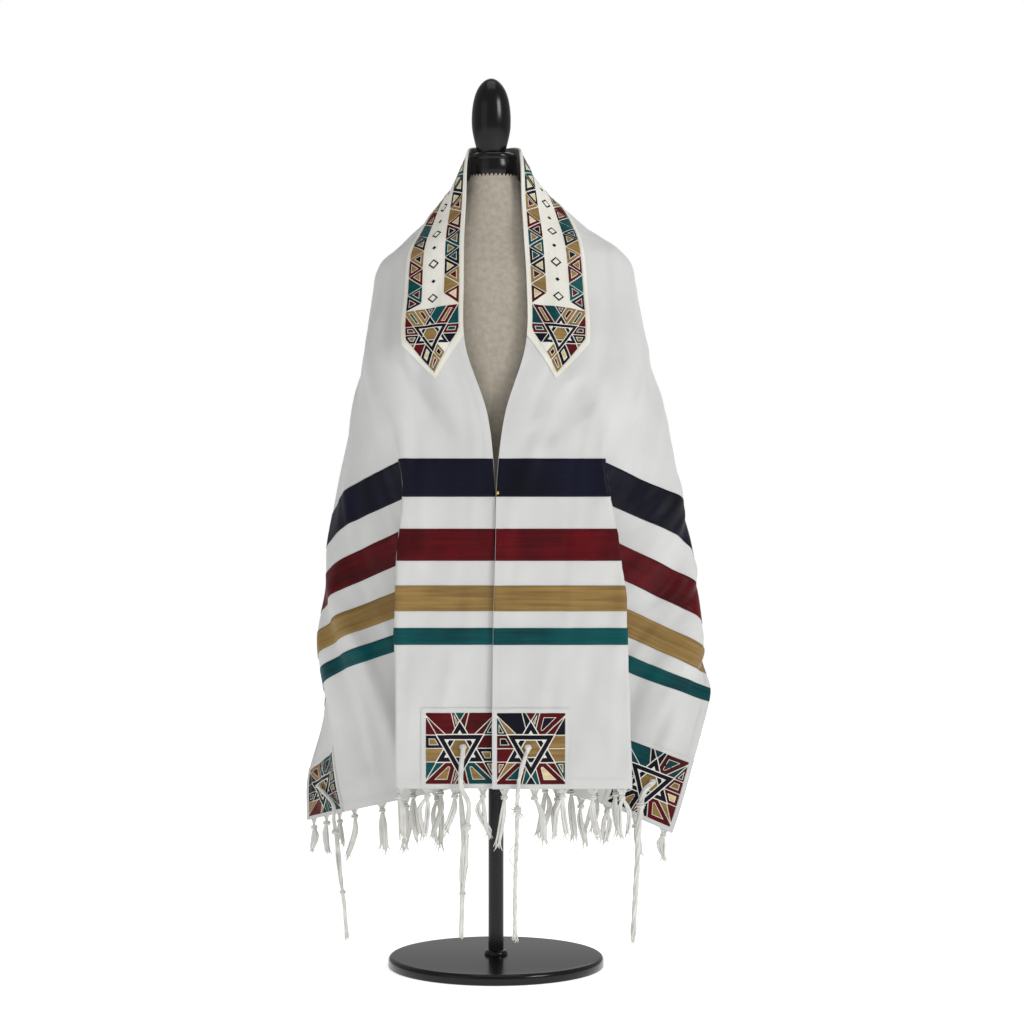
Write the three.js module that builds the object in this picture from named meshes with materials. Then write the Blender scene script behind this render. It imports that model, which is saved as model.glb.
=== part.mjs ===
// A tallit prayer shawl worn by a limbless dress form.
// Millimetres, +Z up, the front faces -Y. The origin is the centre of the base's underside.
import * as THREE from 'three';
import { mergeVertices } from 'three/addons/utils/BufferGeometryUtils.js';

// ---- driving sizes of the cloth ----
const clothWidth = 500;
const halfLength = 900;             // hem to the centre of the back, measured on the inner edge
const clothThick = 1.6;
const seamGap = 0.3;
const shoulderGap = 1.5;            // counted along the inner edge; 0.3 where the flutes crowd
const shoulderSeam = 749;           // where the front stretches end
const trimGap = 0.8;                // clear space between the cloth and what is sewn on it
const bandGap = 1.3;                // the same under the neckband, which crosses curved cloth
const trimThick = 1;
const weld = 1e-4;                  // points closer than this are one

// ---- trims, by their distance from the hem and from the cloth's edge ----
const stripes = [
  { name: 'navy', from: 365, to: 413, colour: '#16162d', rough: 0.45 },
  { name: 'burgundy', from: 285, to: 325, colour: '#5f0c14', rough: 0.45 },
  { name: 'gold', from: 222, to: 254, colour: '#947a46', rough: 0.45 },
  { name: 'teal', from: 180, to: 201, colour: '#0c4e52', rough: 0.45 },
];
const neckband = {
  width: 80, tipAt: 516, tipOut: 50, innerAt: 571, outerAt: 562, binding: 5,
  slant: 1.3,                       // a border across the slanting end is this much longer
  columns: [20, 40, 50, 60], pointStations: [17, 34, 50, 60, 70], pointRoom: 12,
};
const cornerSquare = { width: 86, height: 90, border: 5.5, middle: 50 };
const eyelet = { in: 45, up: 52, outer: 4.5, hole: 2.4, high: 1.4, sides: 12 };
const fringe = { reach: 87, thick: 3, drop: 1.4 };
const pin = { x: 3, z: 613, radius: 2.2, front: -127.2, sides: 12, rings: 8 };

// ---- sections of each half at a distance q from the hem ----
// Each runs from the inner edge round the front crease, the tuck behind it and the side
// to the outer edge, as [out from the middle, y, z]; round is the reach of the three bends.
const rightSections = [
  { q: 0, inner: [-4, -124, 243], crease: [174, -120, 243], tuck: [46, -36, 240],
    side: [150, -52, 212], edge: [222, -62, 181], round: [6, 20, 40] },
  { q: 100, inner: [-4, -124, 343], crease: [172, -121, 343], tuck: [62, -38, 337],
    side: [178, -45, 300], edge: [255, -25, 268], round: [6, 20, 45] },
  { q: 191, inner: [-3, -124, 434], crease: [168, -121, 434], tuck: [78, -42, 433],
    side: [215, -28, 376], edge: [281, 12, 350], round: [6, 20, 50] },
  { q: 238, inner: [-2, -124, 481], crease: [166, -121, 481], tuck: [92, -50, 482],
    side: [266, -14, 402], edge: [272, 45, 388], round: [6, 18, 30] },
  { q: 305, inner: [0, -123, 548], crease: [158, -120, 548], tuck: [110, -70, 550],
    side: [268, 0, 474], edge: [256, 92, 425], round: [6, 15, 30] },
  { q: 390, inner: [2, -122, 633], crease: [142, -119, 633], tuck: [122, -98, 634],
    side: [258, 0, 577], edge: [232, 135, 478], round: [8, 12, 35] },
  { q: 470, inner: [12, -118, 712], crease: [138, -114, 712], tuck: [152, -98, 708],
    side: [240, 5, 660], edge: [205, 150, 520], round: [15, 20, 50] },
  { q: 560, inner: [38, -112, 800], crease: [126, -104, 798], tuck: [170, -72, 788],
    side: [225, 15, 745], edge: [170, 150, 550], round: [30, 30, 50] },
  { q: 646, inner: [39, -90, 885], crease: [105, -82, 874], tuck: [172, -46, 862],
    side: [200, 20, 810], edge: [135, 145, 570], round: [35, 30, 45] },
  { q: 700, inner: [36, -76, 935], crease: [100, -62, 924], tuck: [176, -14, 918],
    side: [188, 45, 855], edge: [112, 140, 580], round: [35, 25, 45] },
  { q: 754, inner: [33, -56, 985], crease: [88, -36, 960], tuck: [156, 18, 938],
    side: [168, 66, 878], edge: [85, 135, 585], round: [30, 25, 45] },
  { q: 820, inner: [31, -36, 1046], crease: [62, -10, 1005], tuck: [112, 34, 956],
    side: [138, 80, 895], edge: [50, 130, 590], round: [25, 30, 45] },
  { q: 862, inner: [27, 0, 1062], crease: [38, 30, 1020], tuck: [64, 66, 965],
    side: [82, 98, 900], edge: [25, 128, 590], round: [25, 35, 50] },
  { q: 900, inner: [0, 30, 1064], crease: [0, 52, 1026], tuck: [0, 76, 970],
    side: [0, 100, 900], edge: [0, 125, 590], round: [25, 35, 50] },
];
const leftSections = [
  { q: 0, inner: [-4, -116, 243], crease: [129, -120, 243], tuck: [36, -56, 240],
    side: [170, -54, 211], edge: [236, 42, 186], round: [6, 20, 40] },
  { q: 100, inner: [-4, -117, 343], crease: [129, -121, 343], tuck: [52, -68, 346],
    side: [188, -50, 306], edge: [238, 62, 256], round: [6, 20, 45] },
  { q: 191, inner: [-3, -118, 434], crease: [129, -121, 434], tuck: [68, -80, 444],
    side: [226, -44, 389], edge: [226, 96, 333], round: [6, 20, 50] },
  { q: 238, inner: [-2, -118, 481], crease: [128, -121, 481], tuck: [78, -88, 490],
    side: [238, -34, 428], edge: [220, 116, 370], round: [6, 20, 55] },
  { q: 305, inner: [-1, -118, 548], crease: [126, -120, 548], tuck: [96, -98, 556],
    side: [230, -28, 494], edge: [214, 135, 415], round: [6, 12, 50] },
  { q: 390, inner: [1, -118, 633], crease: [119, -118, 633], tuck: [108, -104, 634],
    side: [219, -20, 586], edge: [205, 150, 475], round: [8, 10, 50] },
  { q: 470, inner: [10, -117, 712], crease: [120, -112, 712], tuck: [144, -96, 706],
    side: [208, 5, 660], edge: [190, 155, 515], round: [15, 20, 50] },
  { q: 560, inner: [38, -112, 800], crease: [118, -102, 798], tuck: [156, -72, 788],
    side: [192, 15, 745], edge: [162, 152, 550], round: [30, 30, 50] },
  { q: 646, inner: [40, -90, 885], crease: [100, -80, 872], tuck: [152, -46, 858],
    side: [174, 20, 805], edge: [132, 145, 570], round: [35, 30, 45] },
  { q: 700, inner: [40, -76, 935], crease: [94, -62, 920], tuck: [156, -14, 908],
    side: [162, 45, 848], edge: [110, 140, 580], round: [35, 25, 45] },
  { q: 754, inner: [38, -56, 985], crease: [84, -36, 954], tuck: [142, 18, 925],
    side: [155, 66, 868], edge: [84, 135, 585], round: [30, 25, 45] },
  { q: 820, inner: [36, -34, 1046], crease: [60, -10, 1000], tuck: [108, 34, 948],
    side: [132, 80, 890], edge: [50, 130, 590], round: [25, 30, 45] },
  { q: 862, inner: [30, 0, 1062], crease: [40, 30, 1020], tuck: [64, 66, 963],
    side: [80, 98, 900], edge: [25, 128, 590], round: [25, 35, 50] },
  { q: 900, inner: [0, 30, 1064], crease: [0, 52, 1026], tuck: [0, 76, 970],
    side: [0, 100, 900], edge: [0, 125, 590], round: [25, 35, 50] },
];
const bendNames = ['inner', 'crease', 'tuck', 'side', 'edge'];
// Deep flutes at the back take up the length that the outer edge has to spare.
const flutes = { from: 490, to: 892, count: 4, deep: 42, startsAt: 250, sideways: 0.5, axisY: -15 };

// ---- where the facets of the cloth meet ----
// Rows are counted from the hem, columns from the inner edge.
const rows = { belowStripes: [0, 50, 100, 140], aboveStripes: 437, step: 24, onBack: 6, backStep: 24.4 };
const columns = {
  step: 20, inner: [0, 20, 40, 60, 80, 100], outer: [400, 420, 440, 460, 480, 500],
  leastCrease: 112, leastTuck: 22, besideCrease: 5, besideTuck: 6, share: [0.25, 0.5, 0.75],
};
const bend = { steps: 8, longest: 0.46, creaseBefore: 0.2, tuckBefore: 0.5 };

const right = { name: 'right', side: 1, rows: rightSections };
const left = { name: 'left', side: -1, rows: leftSections };

// ---- the cords of the four corners, as routes from the eyelet to the free end ----
const cords = [
  { name: 'right_inner', wide: 5, route: [[40.5, -130.5, 291], [33, -131, 270], [28.5, -131, 245],
    [27.5, -130, 215], [27, -129, 190], [25.5, -129, 150], [24.5, -129, 100], [24.5, -129, 53]] },
  { name: 'left_inner', wide: 5, route: [[-41, -126.5, 292], [-42.5, -128, 270], [-42.5, -128, 246],
    [-33, -128, 224], [-36, -128, 190], [-39, -128, 150], [-41, -128, 112], [-42.5, -128, 56]] },
  { name: 'right_outer', wide: 5, route: [[190, -66, 249], [187, -70, 230], [183, -72, 200],
    [181, -73, 175], [180, -74, 147], [178, -74, 111], [176, -74, 75], [174, -74, 42]] },
  { name: 'left_outer', wide: 5, route: [[-213, -3, 230], [-212, -12, 212], [-209, -20, 190],
    [-206, -25, 168], [-202, -29, 140], [-198, -30, 105], [-194, -30, 70], [-192, -30, 38]] },
];
const cordSides = 8;
const cordStep = 15;

// ---- the dress form ----
const torsoRows = [
  { z: 490, halfWidth: 104, halfDepth: 80, y: 0 },
  { z: 530, halfWidth: 100, halfDepth: 76, y: 0 },
  { z: 580, halfWidth: 98, halfDepth: 74, y: 0 },
  { z: 640, halfWidth: 106, halfDepth: 82, y: 0 },
  { z: 700, halfWidth: 118, halfDepth: 92, y: 0 },
  { z: 750, halfWidth: 127, halfDepth: 98, y: 0 },
  { z: 800, halfWidth: 133, halfDepth: 97, y: 0 },
  { z: 850, halfWidth: 138, halfDepth: 88, y: 0 },
  { z: 890, halfWidth: 140, halfDepth: 80, y: 0 },
  { z: 915, halfWidth: 127, halfDepth: 70, y: 0 },
  { z: 940, halfWidth: 98, halfDepth: 58, y: -1 },
  { z: 960, halfWidth: 74, halfDepth: 51, y: -3 },
  { z: 985, halfWidth: 52, halfDepth: 42, y: -7 },
  { z: 1004, halfWidth: 39, halfDepth: 36, y: -10 },
  { z: 1018.5, halfWidth: 35, halfDepth: 34, y: -12 },
];
const torsoSides = 36;
const neckBlock = { x: -3, y: -12, radius: 30, bottom: 1019, top: 1052, round: 4 };
const finial = { x: -6, y: -12, bottom: 1052.4, profile: [
  { r: 18, up: 0 }, { r: 19.5, up: 8 }, { r: 22.5, up: 20 }, { r: 24.8, up: 32 }, { r: 25.5, up: 44 },
  { r: 24.8, up: 58 }, { r: 22.4, up: 72 }, { r: 18, up: 84 }, { r: 11.5, up: 93 }, { r: 5, up: 97.5 },
] };
const finialHeight = 98.6;
const base = { radius: 140, high: 14, round: 4 };
const pole = { radius: 10, top: 477, round: 1 };
const flange = { radius: 38, high: 11, round: 2 };
const roundSides = 36;
const roundShare = 0.3;             // how far a rounded rim's middle point stands in

// ---- the surface of the cloth ----
function between(table, name, q) {
  let low = 0;
  while (low < table.length - 2 && q > table[low + 1].q) low += 1;
  const slope = (at, axis) => {
    const rise = (i) => (table[i + 1][name][axis] - table[i][name][axis]) / (table[i + 1].q - table[i].q);
    if (at === 0) return rise(0);
    if (at === table.length - 1) return rise(at - 1);
    const before = table[at].q - table[at - 1].q;
    const after = table[at + 1].q - table[at].q;
    return (rise(at - 1) * after + rise(at) * before) / (before + after);
  };
  const step = table[low + 1].q - table[low].q;
  const t = (q - table[low].q) / step;
  const weights = [
    2 * t ** 3 - 3 * t ** 2 + 1, t ** 3 - 2 * t ** 2 + t,
    3 * t ** 2 - 2 * t ** 3, t ** 3 - t ** 2,
  ];
  return [0, 1, 2].map((axis) => weights[0] * table[low][name][axis]
    + weights[1] * step * slope(low, axis)
    + weights[2] * table[low + 1][name][axis]
    + weights[3] * step * slope(low + 1, axis));
}

const sectionCache = new Map();

function sectionAt(half, q) {
  const key = `${half.name} ${q.toFixed(4)}`;
  if (!sectionCache.has(key)) {
    const corners = bendNames.map((name) => new THREE.Vector3(...between(half.rows, name, q)));
    const reach = between(half.rows, 'round', q);
    const points = [corners[0]];
    for (const i of [1, 2, 3]) {
      const toBefore = corners[i - 1].clone().sub(corners[i]);
      const toAfter = corners[i + 1].clone().sub(corners[i]);
      const far = Math.min(reach[i - 1], bend.longest * toBefore.length(), bend.longest * toAfter.length());
      const curve = new THREE.QuadraticBezierCurve3(
        corners[i].clone().addScaledVector(toBefore.normalize(), far),
        corners[i],
        corners[i].clone().addScaledVector(toAfter.normalize(), far),
      );
      points.push(...curve.getPoints(bend.steps));
    }
    points.push(corners[4]);
    const creaseAt = corners[0].distanceTo(corners[1]) - bend.creaseBefore * reach[0];
    const tuckAt = creaseAt + corners[1].distanceTo(corners[2]) - bend.tuckBefore * reach[1];
    sectionCache.set(key, { points, creaseAt, tuckAt });
  }
  return sectionCache.get(key);
}

function fluteAt(q, v) {
  if (q <= flutes.from || q >= flutes.to) return 0;
  const grown = THREE.MathUtils.smoothstep(v, flutes.startsAt, clothWidth);
  const turn = (q - flutes.from) / (flutes.to - flutes.from);
  return flutes.deep * grown * 0.5 * (1 - Math.cos(2 * Math.PI * flutes.count * turn));
}

// q is the distance from the hem, v the distance from the inner edge across the cloth.
function clothPoint(half, q, v) {
  const { points } = sectionAt(half, q);
  let walked = 0;
  let at = 0;
  while (at < points.length - 2 && walked + points[at].distanceTo(points[at + 1]) < v) {
    walked += points[at].distanceTo(points[at + 1]);
    at += 1;
  }
  const share = (v - walked) / points[at].distanceTo(points[at + 1]);
  const place = points[at].clone().lerp(points[at + 1], share);
  const out = new THREE.Vector2(place.x * flutes.sideways, place.y - flutes.axisY).normalize();
  const wave = fluteAt(q, v);
  return new THREE.Vector3(half.side * (place.x + wave * out.x), place.y + wave * out.y, place.z);
}

function clothNormal(half, q, v) {
  const step = 1.5;
  const upper = Math.min(q + step, halfLength);
  const lower = Math.max(q - step, 0);
  const across = clothPoint(half, q, Math.min(v + step, clothWidth))
    .sub(clothPoint(half, q, Math.max(v - step, 0)));
  const along = clothPoint(half, upper, v).sub(clothPoint(half, lower, v));
  return across.cross(along).multiplyScalar(half.side).normalize();
}

function onCloth(half, q, v, lift) {
  const middle = q >= halfLength - 1e-6;
  const normal = clothNormal(half, q, v);
  if (middle) normal.setX(0).normalize();
  return clothPoint(half, q, v).addScaledVector(normal, lift);
}

// ---- closed meshes ----
function meshOf(name, triangles, material) {
  let geometry = new THREE.BufferGeometry();
  geometry.setAttribute('position', new THREE.Float32BufferAttribute(triangles.flatMap((p) => p.toArray()), 3));
  geometry = mergeVertices(geometry, weld);
  const index = geometry.getIndex().array;
  const place = geometry.getAttribute('position');
  const corner = (i) => new THREE.Vector3().fromBufferAttribute(place, index[i]);
  let volume = 0;
  for (let i = 0; i < index.length; i += 3) {
    volume += corner(i).dot(corner(i + 1).cross(corner(i + 2)));
  }
  if (volume < 0) {
    for (let i = 0; i < index.length; i += 3) [index[i], index[i + 1]] = [index[i + 1], index[i]];
  }
  geometry.computeVertexNormals();
  const mesh = new THREE.Mesh(geometry, material);
  mesh.name = name;
  return mesh;
}

function quad(list, a, b, c, d) {
  list.push(a, b, c, a, c, d);
}

// A wall between two grids of points that match row by row.
function wallOf(name, inner, outer, material) {
  const rowCount = inner.length;
  const columnCount = inner[0].length;
  const list = [];
  for (let r = 0; r < rowCount - 1; r += 1) {
    for (let c = 0; c < columnCount - 1; c += 1) {
      quad(list, outer[r][c], outer[r][c + 1], outer[r + 1][c + 1], outer[r + 1][c]);
      quad(list, inner[r][c], inner[r + 1][c], inner[r + 1][c + 1], inner[r][c + 1]);
    }
    quad(list, inner[r][0], outer[r][0], outer[r + 1][0], inner[r + 1][0]);
    const last = columnCount - 1;
    quad(list, outer[r][last], inner[r][last], inner[r + 1][last], outer[r + 1][last]);
  }
  for (let c = 0; c < columnCount - 1; c += 1) {
    quad(list, outer[0][c], inner[0][c], inner[0][c + 1], outer[0][c + 1]);
    const top = rowCount - 1;
    quad(list, inner[top][c], outer[top][c], outer[top][c + 1], inner[top][c + 1]);
  }
  return meshOf(name, list, material);
}

// A flat strip that closes on itself between an outer and an inner outline.
function ringOf(name, stations, material) {
  const list = [];
  stations.forEach((here, i) => {
    const next = stations[(i + 1) % stations.length];
    here.forEach((point, k) => {
      const after = (k + 1) % here.length;
      quad(list, point, here[after], next[after], next[k]);
    });
  });
  return meshOf(name, list, material);
}

// ---- materials ----
function finish(color, roughness, metalness = 0) {
  return new THREE.MeshStandardMaterial({ color, roughness, metalness });
}
const whiteCloth = finish('#dedcd6', 0.9);
const creamBinding = finish('#f5f3eb', 0.8);
const mosaicCloth = finish('#5b3440', 0.7);
const cordCotton = finish('#f0eee6', 0.9);
const linen = finish('#aaa091', 0.95);
const blackGloss = finish('#0c0c0d', 0.25);
const brass = finish('#b08a3c', 0.35, 0.9);

// ---- the shawl ----
// The columns of a section stand close together where the cloth bends.
function columnsAt(half, q) {
  const { creaseAt, tuckAt } = sectionAt(half, q);
  const { inner, outer, besideCrease, besideTuck } = columns;
  const crease = Math.max(creaseAt, columns.leastCrease);
  const tuck = Math.max(tuckAt, crease + columns.leastTuck);
  const spread = columns.share.map((share) => THREE.MathUtils.lerp(tuck + besideTuck, outer[0], share));
  return [...inner, crease - besideCrease, crease, crease + besideCrease, (crease + tuck) / 2,
    tuck - besideTuck, tuck + besideTuck, ...spread, ...outer];
}

function stretch(name, stations, from, to, material) {
  const row = (half, q, lift) => columnsAt(half, q).map((v) => onCloth(half, q, v, lift));
  const layer = (lift) => stations.map(({ half, q }) => row(half, q, lift));
  return wallOf(name, layer(from), layer(to), material);
}

function frontRows() {
  const fromTrims = stripes.flatMap(({ from, to }) => [from, to]).sort((a, b) => a - b);
  const upper = [];
  for (let q = rows.aboveStripes; q < shoulderSeam - rows.step / 2; q += rows.step) upper.push(q);
  return [...rows.belowStripes, ...fromTrims, ...upper, shoulderSeam];
}

function backRows() {
  return Array.from({ length: rows.onBack }, (_, i) => shoulderSeam + shoulderGap + i * rows.backStep);
}

const clothRows = () => [...frontRows(), ...backRows()];
const frontStations = (half) => frontRows().map((q) => ({ half, q }));

function backStations() {
  const climb = backRows();
  return [
    ...climb.map((q) => ({ half: left, q })),
    { half: right, q: halfLength },
    ...climb.reverse().map((q) => ({ half: right, q })),
  ];
}

function shawl() {
  const halfThick = clothThick / 2;
  return [
    stretch('shawl_left_front', frontStations(left), -halfThick, halfThick, whiteCloth),
    stretch('shawl_right_front', frontStations(right), -halfThick, halfThick, whiteCloth),
    stretch('shawl_back', backStations(), -halfThick, halfThick, whiteCloth),
  ];
}

const trimLow = clothThick / 2 + trimGap;
const trimHigh = trimLow + trimThick;
const bandLow = clothThick / 2 + bandGap;
const bandHigh = bandLow + trimThick;

function stripePieces() {
  return [left, right].flatMap((half) => stripes.map(({ name, from, to, colour, rough }) => {
    const stations = [{ half, q: from }, { half, q: to }];
    return stretch(`stripe_${name}_${half.name}`, stations, trimLow, trimHigh, finish(colour, rough));
  }));
}

// ---- the neckband ----
// Its pointed end: how far from the hem the band starts, at a distance v from the inner edge.
function bandStart(v, inset) {
  const { width, tipAt, tipOut, innerAt, outerAt } = neckband;
  const rise = v < tipOut
    ? THREE.MathUtils.mapLinear(v, 0, tipOut, innerAt, tipAt)
    : THREE.MathUtils.mapLinear(v, tipOut, width, tipAt, outerAt);
  return rise + inset * neckband.slant;
}

// The rows of the band are those of the cloth under it, after its own pointed first row.
function bandRows(v, inset) {
  const start = bandStart(v, inset);
  const above = [...clothRows(), halfLength].filter((q) => q > neckband.innerAt + neckband.pointRoom);
  const point = [0, 1 / 3, 2 / 3].map((share) => THREE.MathUtils.lerp(start, above[0], share));
  return [...point, ...above];
}

function neckbandPanel() {
  const { width, binding } = neckband;
  const clear = binding + 2 * seamGap;
  const across = [clear, ...neckband.columns, width - clear];
  const rowCount = bandRows(0, 0).length;
  const row = (half, i, lift) => across.map((v) => onCloth(half, bandRows(v, clear)[i], v, lift));
  const climb = Array.from({ length: rowCount }, (_, i) => i);
  const layer = (lift) => [
    ...climb.map((i) => row(left, i, lift)),
    ...climb.slice(0, -1).reverse().map((i) => row(right, i, lift)),
  ];
  return wallOf('neckband', layer(bandLow), layer(bandHigh), mosaicCloth);
}

// The outline of the band, outside and inside of its binding, from the left end over the neck
// to the right end and back.
function neckbandBinding() {
  const { width, tipOut, binding } = neckband;
  const station = (half, outerQ, outerV, innerQ, innerV) => [
    onCloth(half, outerQ, outerV, bandLow),
    onCloth(half, outerQ, outerV, bandHigh),
    onCloth(half, innerQ, innerV, bandHigh),
    onCloth(half, innerQ, innerV, bandLow),
  ];
  const along = (half, outerV, innerV) => {
    const inner = bandRows(innerV, binding);
    return bandRows(outerV, 0).map((outerQ, i) => station(half, outerQ, outerV, inner[i], innerV));
  };
  // The pointed end runs from the inner corner over the tip to the outer corner.
  const point = (half) => neckband.pointStations.map((v) => {
    const innerV = v < tipOut
      ? THREE.MathUtils.mapLinear(v, 0, tipOut, binding, tipOut)
      : THREE.MathUtils.mapLinear(v, tipOut, width, tipOut, width - binding);
    return station(half, bandStart(v, 0), v, bandStart(innerV, binding), innerV);
  });
  return ringOf('neckband_binding', [
    ...along(left, 0, binding),
    ...along(right, 0, binding).reverse().slice(1),
    ...point(right),
    ...along(right, width, width - binding),
    ...along(left, width, width - binding).reverse().slice(1),
    ...point(left).reverse(),
  ], creamBinding);
}

// ---- the corners ----
// Lines at which the corner pieces bend with the cloth under them, every 20 mm across.
function cornerLines(outerCorner) {
  const { width, height, border } = cornerSquare;
  const first = outerCorner ? clothWidth - border - width : border;
  const across = [first];
  const { step } = columns;
  for (let v = Math.ceil(first / step) * step; v < first + width; v += step) across.push(v);
  return { across: [...across, first + width], up: [border, cornerSquare.middle, border + height] };
}

function cornerPanel(half, outerCorner) {
  const { across, up } = cornerLines(outerCorner);
  const layer = (lift) => up.map((q) => across.map((v) => onCloth(half, q, v, lift)));
  const place = outerCorner ? 'outer' : 'inner';
  return wallOf(`corner_square_${half.name}_${place}`, layer(trimLow), layer(trimHigh), mosaicCloth);
}

function cornerBorder(half, outerCorner) {
  const { across, up } = cornerLines(outerCorner);
  const wide = cornerSquare.border;
  const near = across[0];
  const far = across.at(-1);
  const low = up[0];
  const high = up.at(-1);
  // Each place on the outline, with the direction in which the border lies outside it.
  const outline = [
    ...across.map((v) => ({ v, q: low, outV: (v === far) - (v === near), outQ: -1 })),
    ...up.slice(1).map((q) => ({ v: far, q, outV: 1, outQ: Number(q === high) })),
    ...across.slice(0, -1).reverse().map((v) => ({ v, q: high, outV: -(v === near), outQ: 1 })),
    ...up.slice(1, -1).reverse().map((q) => ({ v: near, q, outV: -1, outQ: 0 })),
  ];
  const stations = outline.map(({ v, q, outV, outQ }) => {
    const corner = (by, lift) => onCloth(half, q + by * outQ, v + by * outV, lift);
    return [corner(wide, trimLow), corner(wide, trimHigh), corner(seamGap, trimHigh), corner(seamGap, trimLow)];
  });
  return ringOf(`corner_border_${half.name}_${outerCorner ? 'outer' : 'inner'}`, stations, creamBinding);
}

function eyeletRing(half, outerCorner) {
  const v = outerCorner ? clothWidth - eyelet.in : eyelet.in;
  const normal = clothNormal(half, eyelet.up, v);
  const centre = onCloth(half, eyelet.up, v, trimHigh + seamGap);
  const profile = [
    new THREE.Vector2(eyelet.hole, 0),
    new THREE.Vector2(eyelet.outer, 0),
    new THREE.Vector2(eyelet.outer, eyelet.high),
    new THREE.Vector2(eyelet.hole, eyelet.high),
    new THREE.Vector2(eyelet.hole, 0),
  ];
  const mesh = new THREE.Mesh(new THREE.LatheGeometry(profile, eyelet.sides), cordCotton);
  mesh.name = `eyelet_${half.name}_${outerCorner ? 'outer' : 'inner'}`;
  mesh.quaternion.setFromUnitVectors(new THREE.Vector3(0, 1, 0), normal);
  mesh.position.copy(centre);
  return mesh;
}

function corners() {
  return [left, right].flatMap((half) => [false, true].flatMap((outerCorner) => [
    cornerPanel(half, outerCorner),
    cornerBorder(half, outerCorner),
    eyeletRing(half, outerCorner),
  ]));
}

// ---- fringe and cords ----
function fringePiece(half) {
  const across = columnsAt(half, 0);
  const layer = (lift) => [fringe.drop, fringe.drop + fringe.reach].map((drop) => across.map((v) => {
    const level = clothNormal(half, 0, v).setZ(0).normalize();
    return clothPoint(half, 0, v).addScaledVector(level, lift).add(new THREE.Vector3(0, 0, -drop));
  }));
  return wallOf(`fringe_${half.name}`, layer(-fringe.thick / 2), layer(fringe.thick / 2), cordCotton);
}

function cordTube({ name, wide, route }) {
  const path = new THREE.CatmullRomCurve3(route.map((point) => new THREE.Vector3(...point)));
  const outline = [];
  for (let k = 0; k < cordSides; k += 1) {
    const turn = (2 * Math.PI * k) / cordSides;
    outline.push(new THREE.Vector2(Math.cos(turn), Math.sin(turn)).multiplyScalar(wide / 2));
  }
  const geometry = new THREE.ExtrudeGeometry(new THREE.Shape(outline), {
    extrudePath: path, steps: Math.round(path.getLength() / cordStep), bevelEnabled: false,
  });
  const mesh = new THREE.Mesh(geometry, cordCotton);
  mesh.name = `tzitzit_${name}`;
  return mesh;
}

function frontPin() {
  const mesh = new THREE.Mesh(new THREE.SphereGeometry(pin.radius, pin.sides, pin.rings), brass);
  mesh.name = 'front_pin';
  mesh.position.set(pin.x, pin.front - pin.radius, pin.z);
  return mesh;
}

// ---- the dress form ----
function torso() {
  const list = [];
  const row = ({ z, halfWidth, halfDepth, y }) => {
    const points = [];
    for (let k = 0; k < torsoSides; k += 1) {
      const turn = (2 * Math.PI * k) / torsoSides;
      points.push(new THREE.Vector3(halfWidth * Math.cos(turn), y + halfDepth * Math.sin(turn), z));
    }
    return points;
  };
  const outlines = torsoRows.map(row);
  outlines.slice(1).forEach((upper, r) => upper.forEach((point, k) => {
    const after = (k + 1) % torsoSides;
    quad(list, outlines[r][k], outlines[r][after], upper[after], point);
  }));
  const lowest = new THREE.Vector3(0, torsoRows[0].y, torsoRows[0].z);
  const highest = new THREE.Vector3(0, torsoRows.at(-1).y, torsoRows.at(-1).z);
  for (let k = 0; k < torsoSides; k += 1) {
    const after = (k + 1) % torsoSides;
    list.push(lowest, outlines[0][after], outlines[0][k]);
    list.push(highest, outlines.at(-1)[k], outlines.at(-1)[after]);
  }
  return meshOf('form_torso', list, linen);
}

function turned(name, profile, place, material) {
  const mesh = new THREE.Mesh(new THREE.LatheGeometry(profile, roundSides), material);
  mesh.name = name;
  mesh.rotation.x = Math.PI / 2;
  mesh.position.set(...place);
  return mesh;
}

function roundedDisc(radius, high, round) {
  return [
    new THREE.Vector2(0, 0),
    new THREE.Vector2(radius, 0),
    new THREE.Vector2(radius, high - round),
    new THREE.Vector2(radius - roundShare * round, high - roundShare * round),
    new THREE.Vector2(radius - round, high),
    new THREE.Vector2(0, high),
  ];
}

function formParts() {
  const oval = finial.profile.map(({ r, up }) => new THREE.Vector2(r, up));
  return [
    turned('form_base', roundedDisc(base.radius, base.high, base.round), [0, 0, 0], blackGloss),
    turned('form_pole', roundedDisc(pole.radius, pole.top - base.high - 2 * seamGap, pole.round),
      [0, 0, base.high + seamGap], blackGloss),
    turned('form_flange', roundedDisc(flange.radius, flange.high, flange.round),
      [0, 0, pole.top + seamGap], blackGloss),
    torso(),
    turned('form_neck_block', roundedDisc(neckBlock.radius, neckBlock.top - neckBlock.bottom, neckBlock.round),
      [neckBlock.x, neckBlock.y, neckBlock.bottom], blackGloss),
    turned('form_finial', [new THREE.Vector2(0, 0), ...oval, new THREE.Vector2(0, finialHeight)],
      [finial.x, finial.y, finial.bottom], blackGloss),
  ];
}

const group = new THREE.Group();
group.add(
  ...shawl(),
  ...stripePieces(),
  neckbandPanel(),
  neckbandBinding(),
  ...corners(),
  ...[left, right].map(fringePiece),
  ...cords.map(cordTube),
  frontPin(),
  ...formParts(),
);
export default group;
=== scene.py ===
import math
import random

import bmesh
import bpy
import numpy as np
from mathutils import Matrix, Vector


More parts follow.
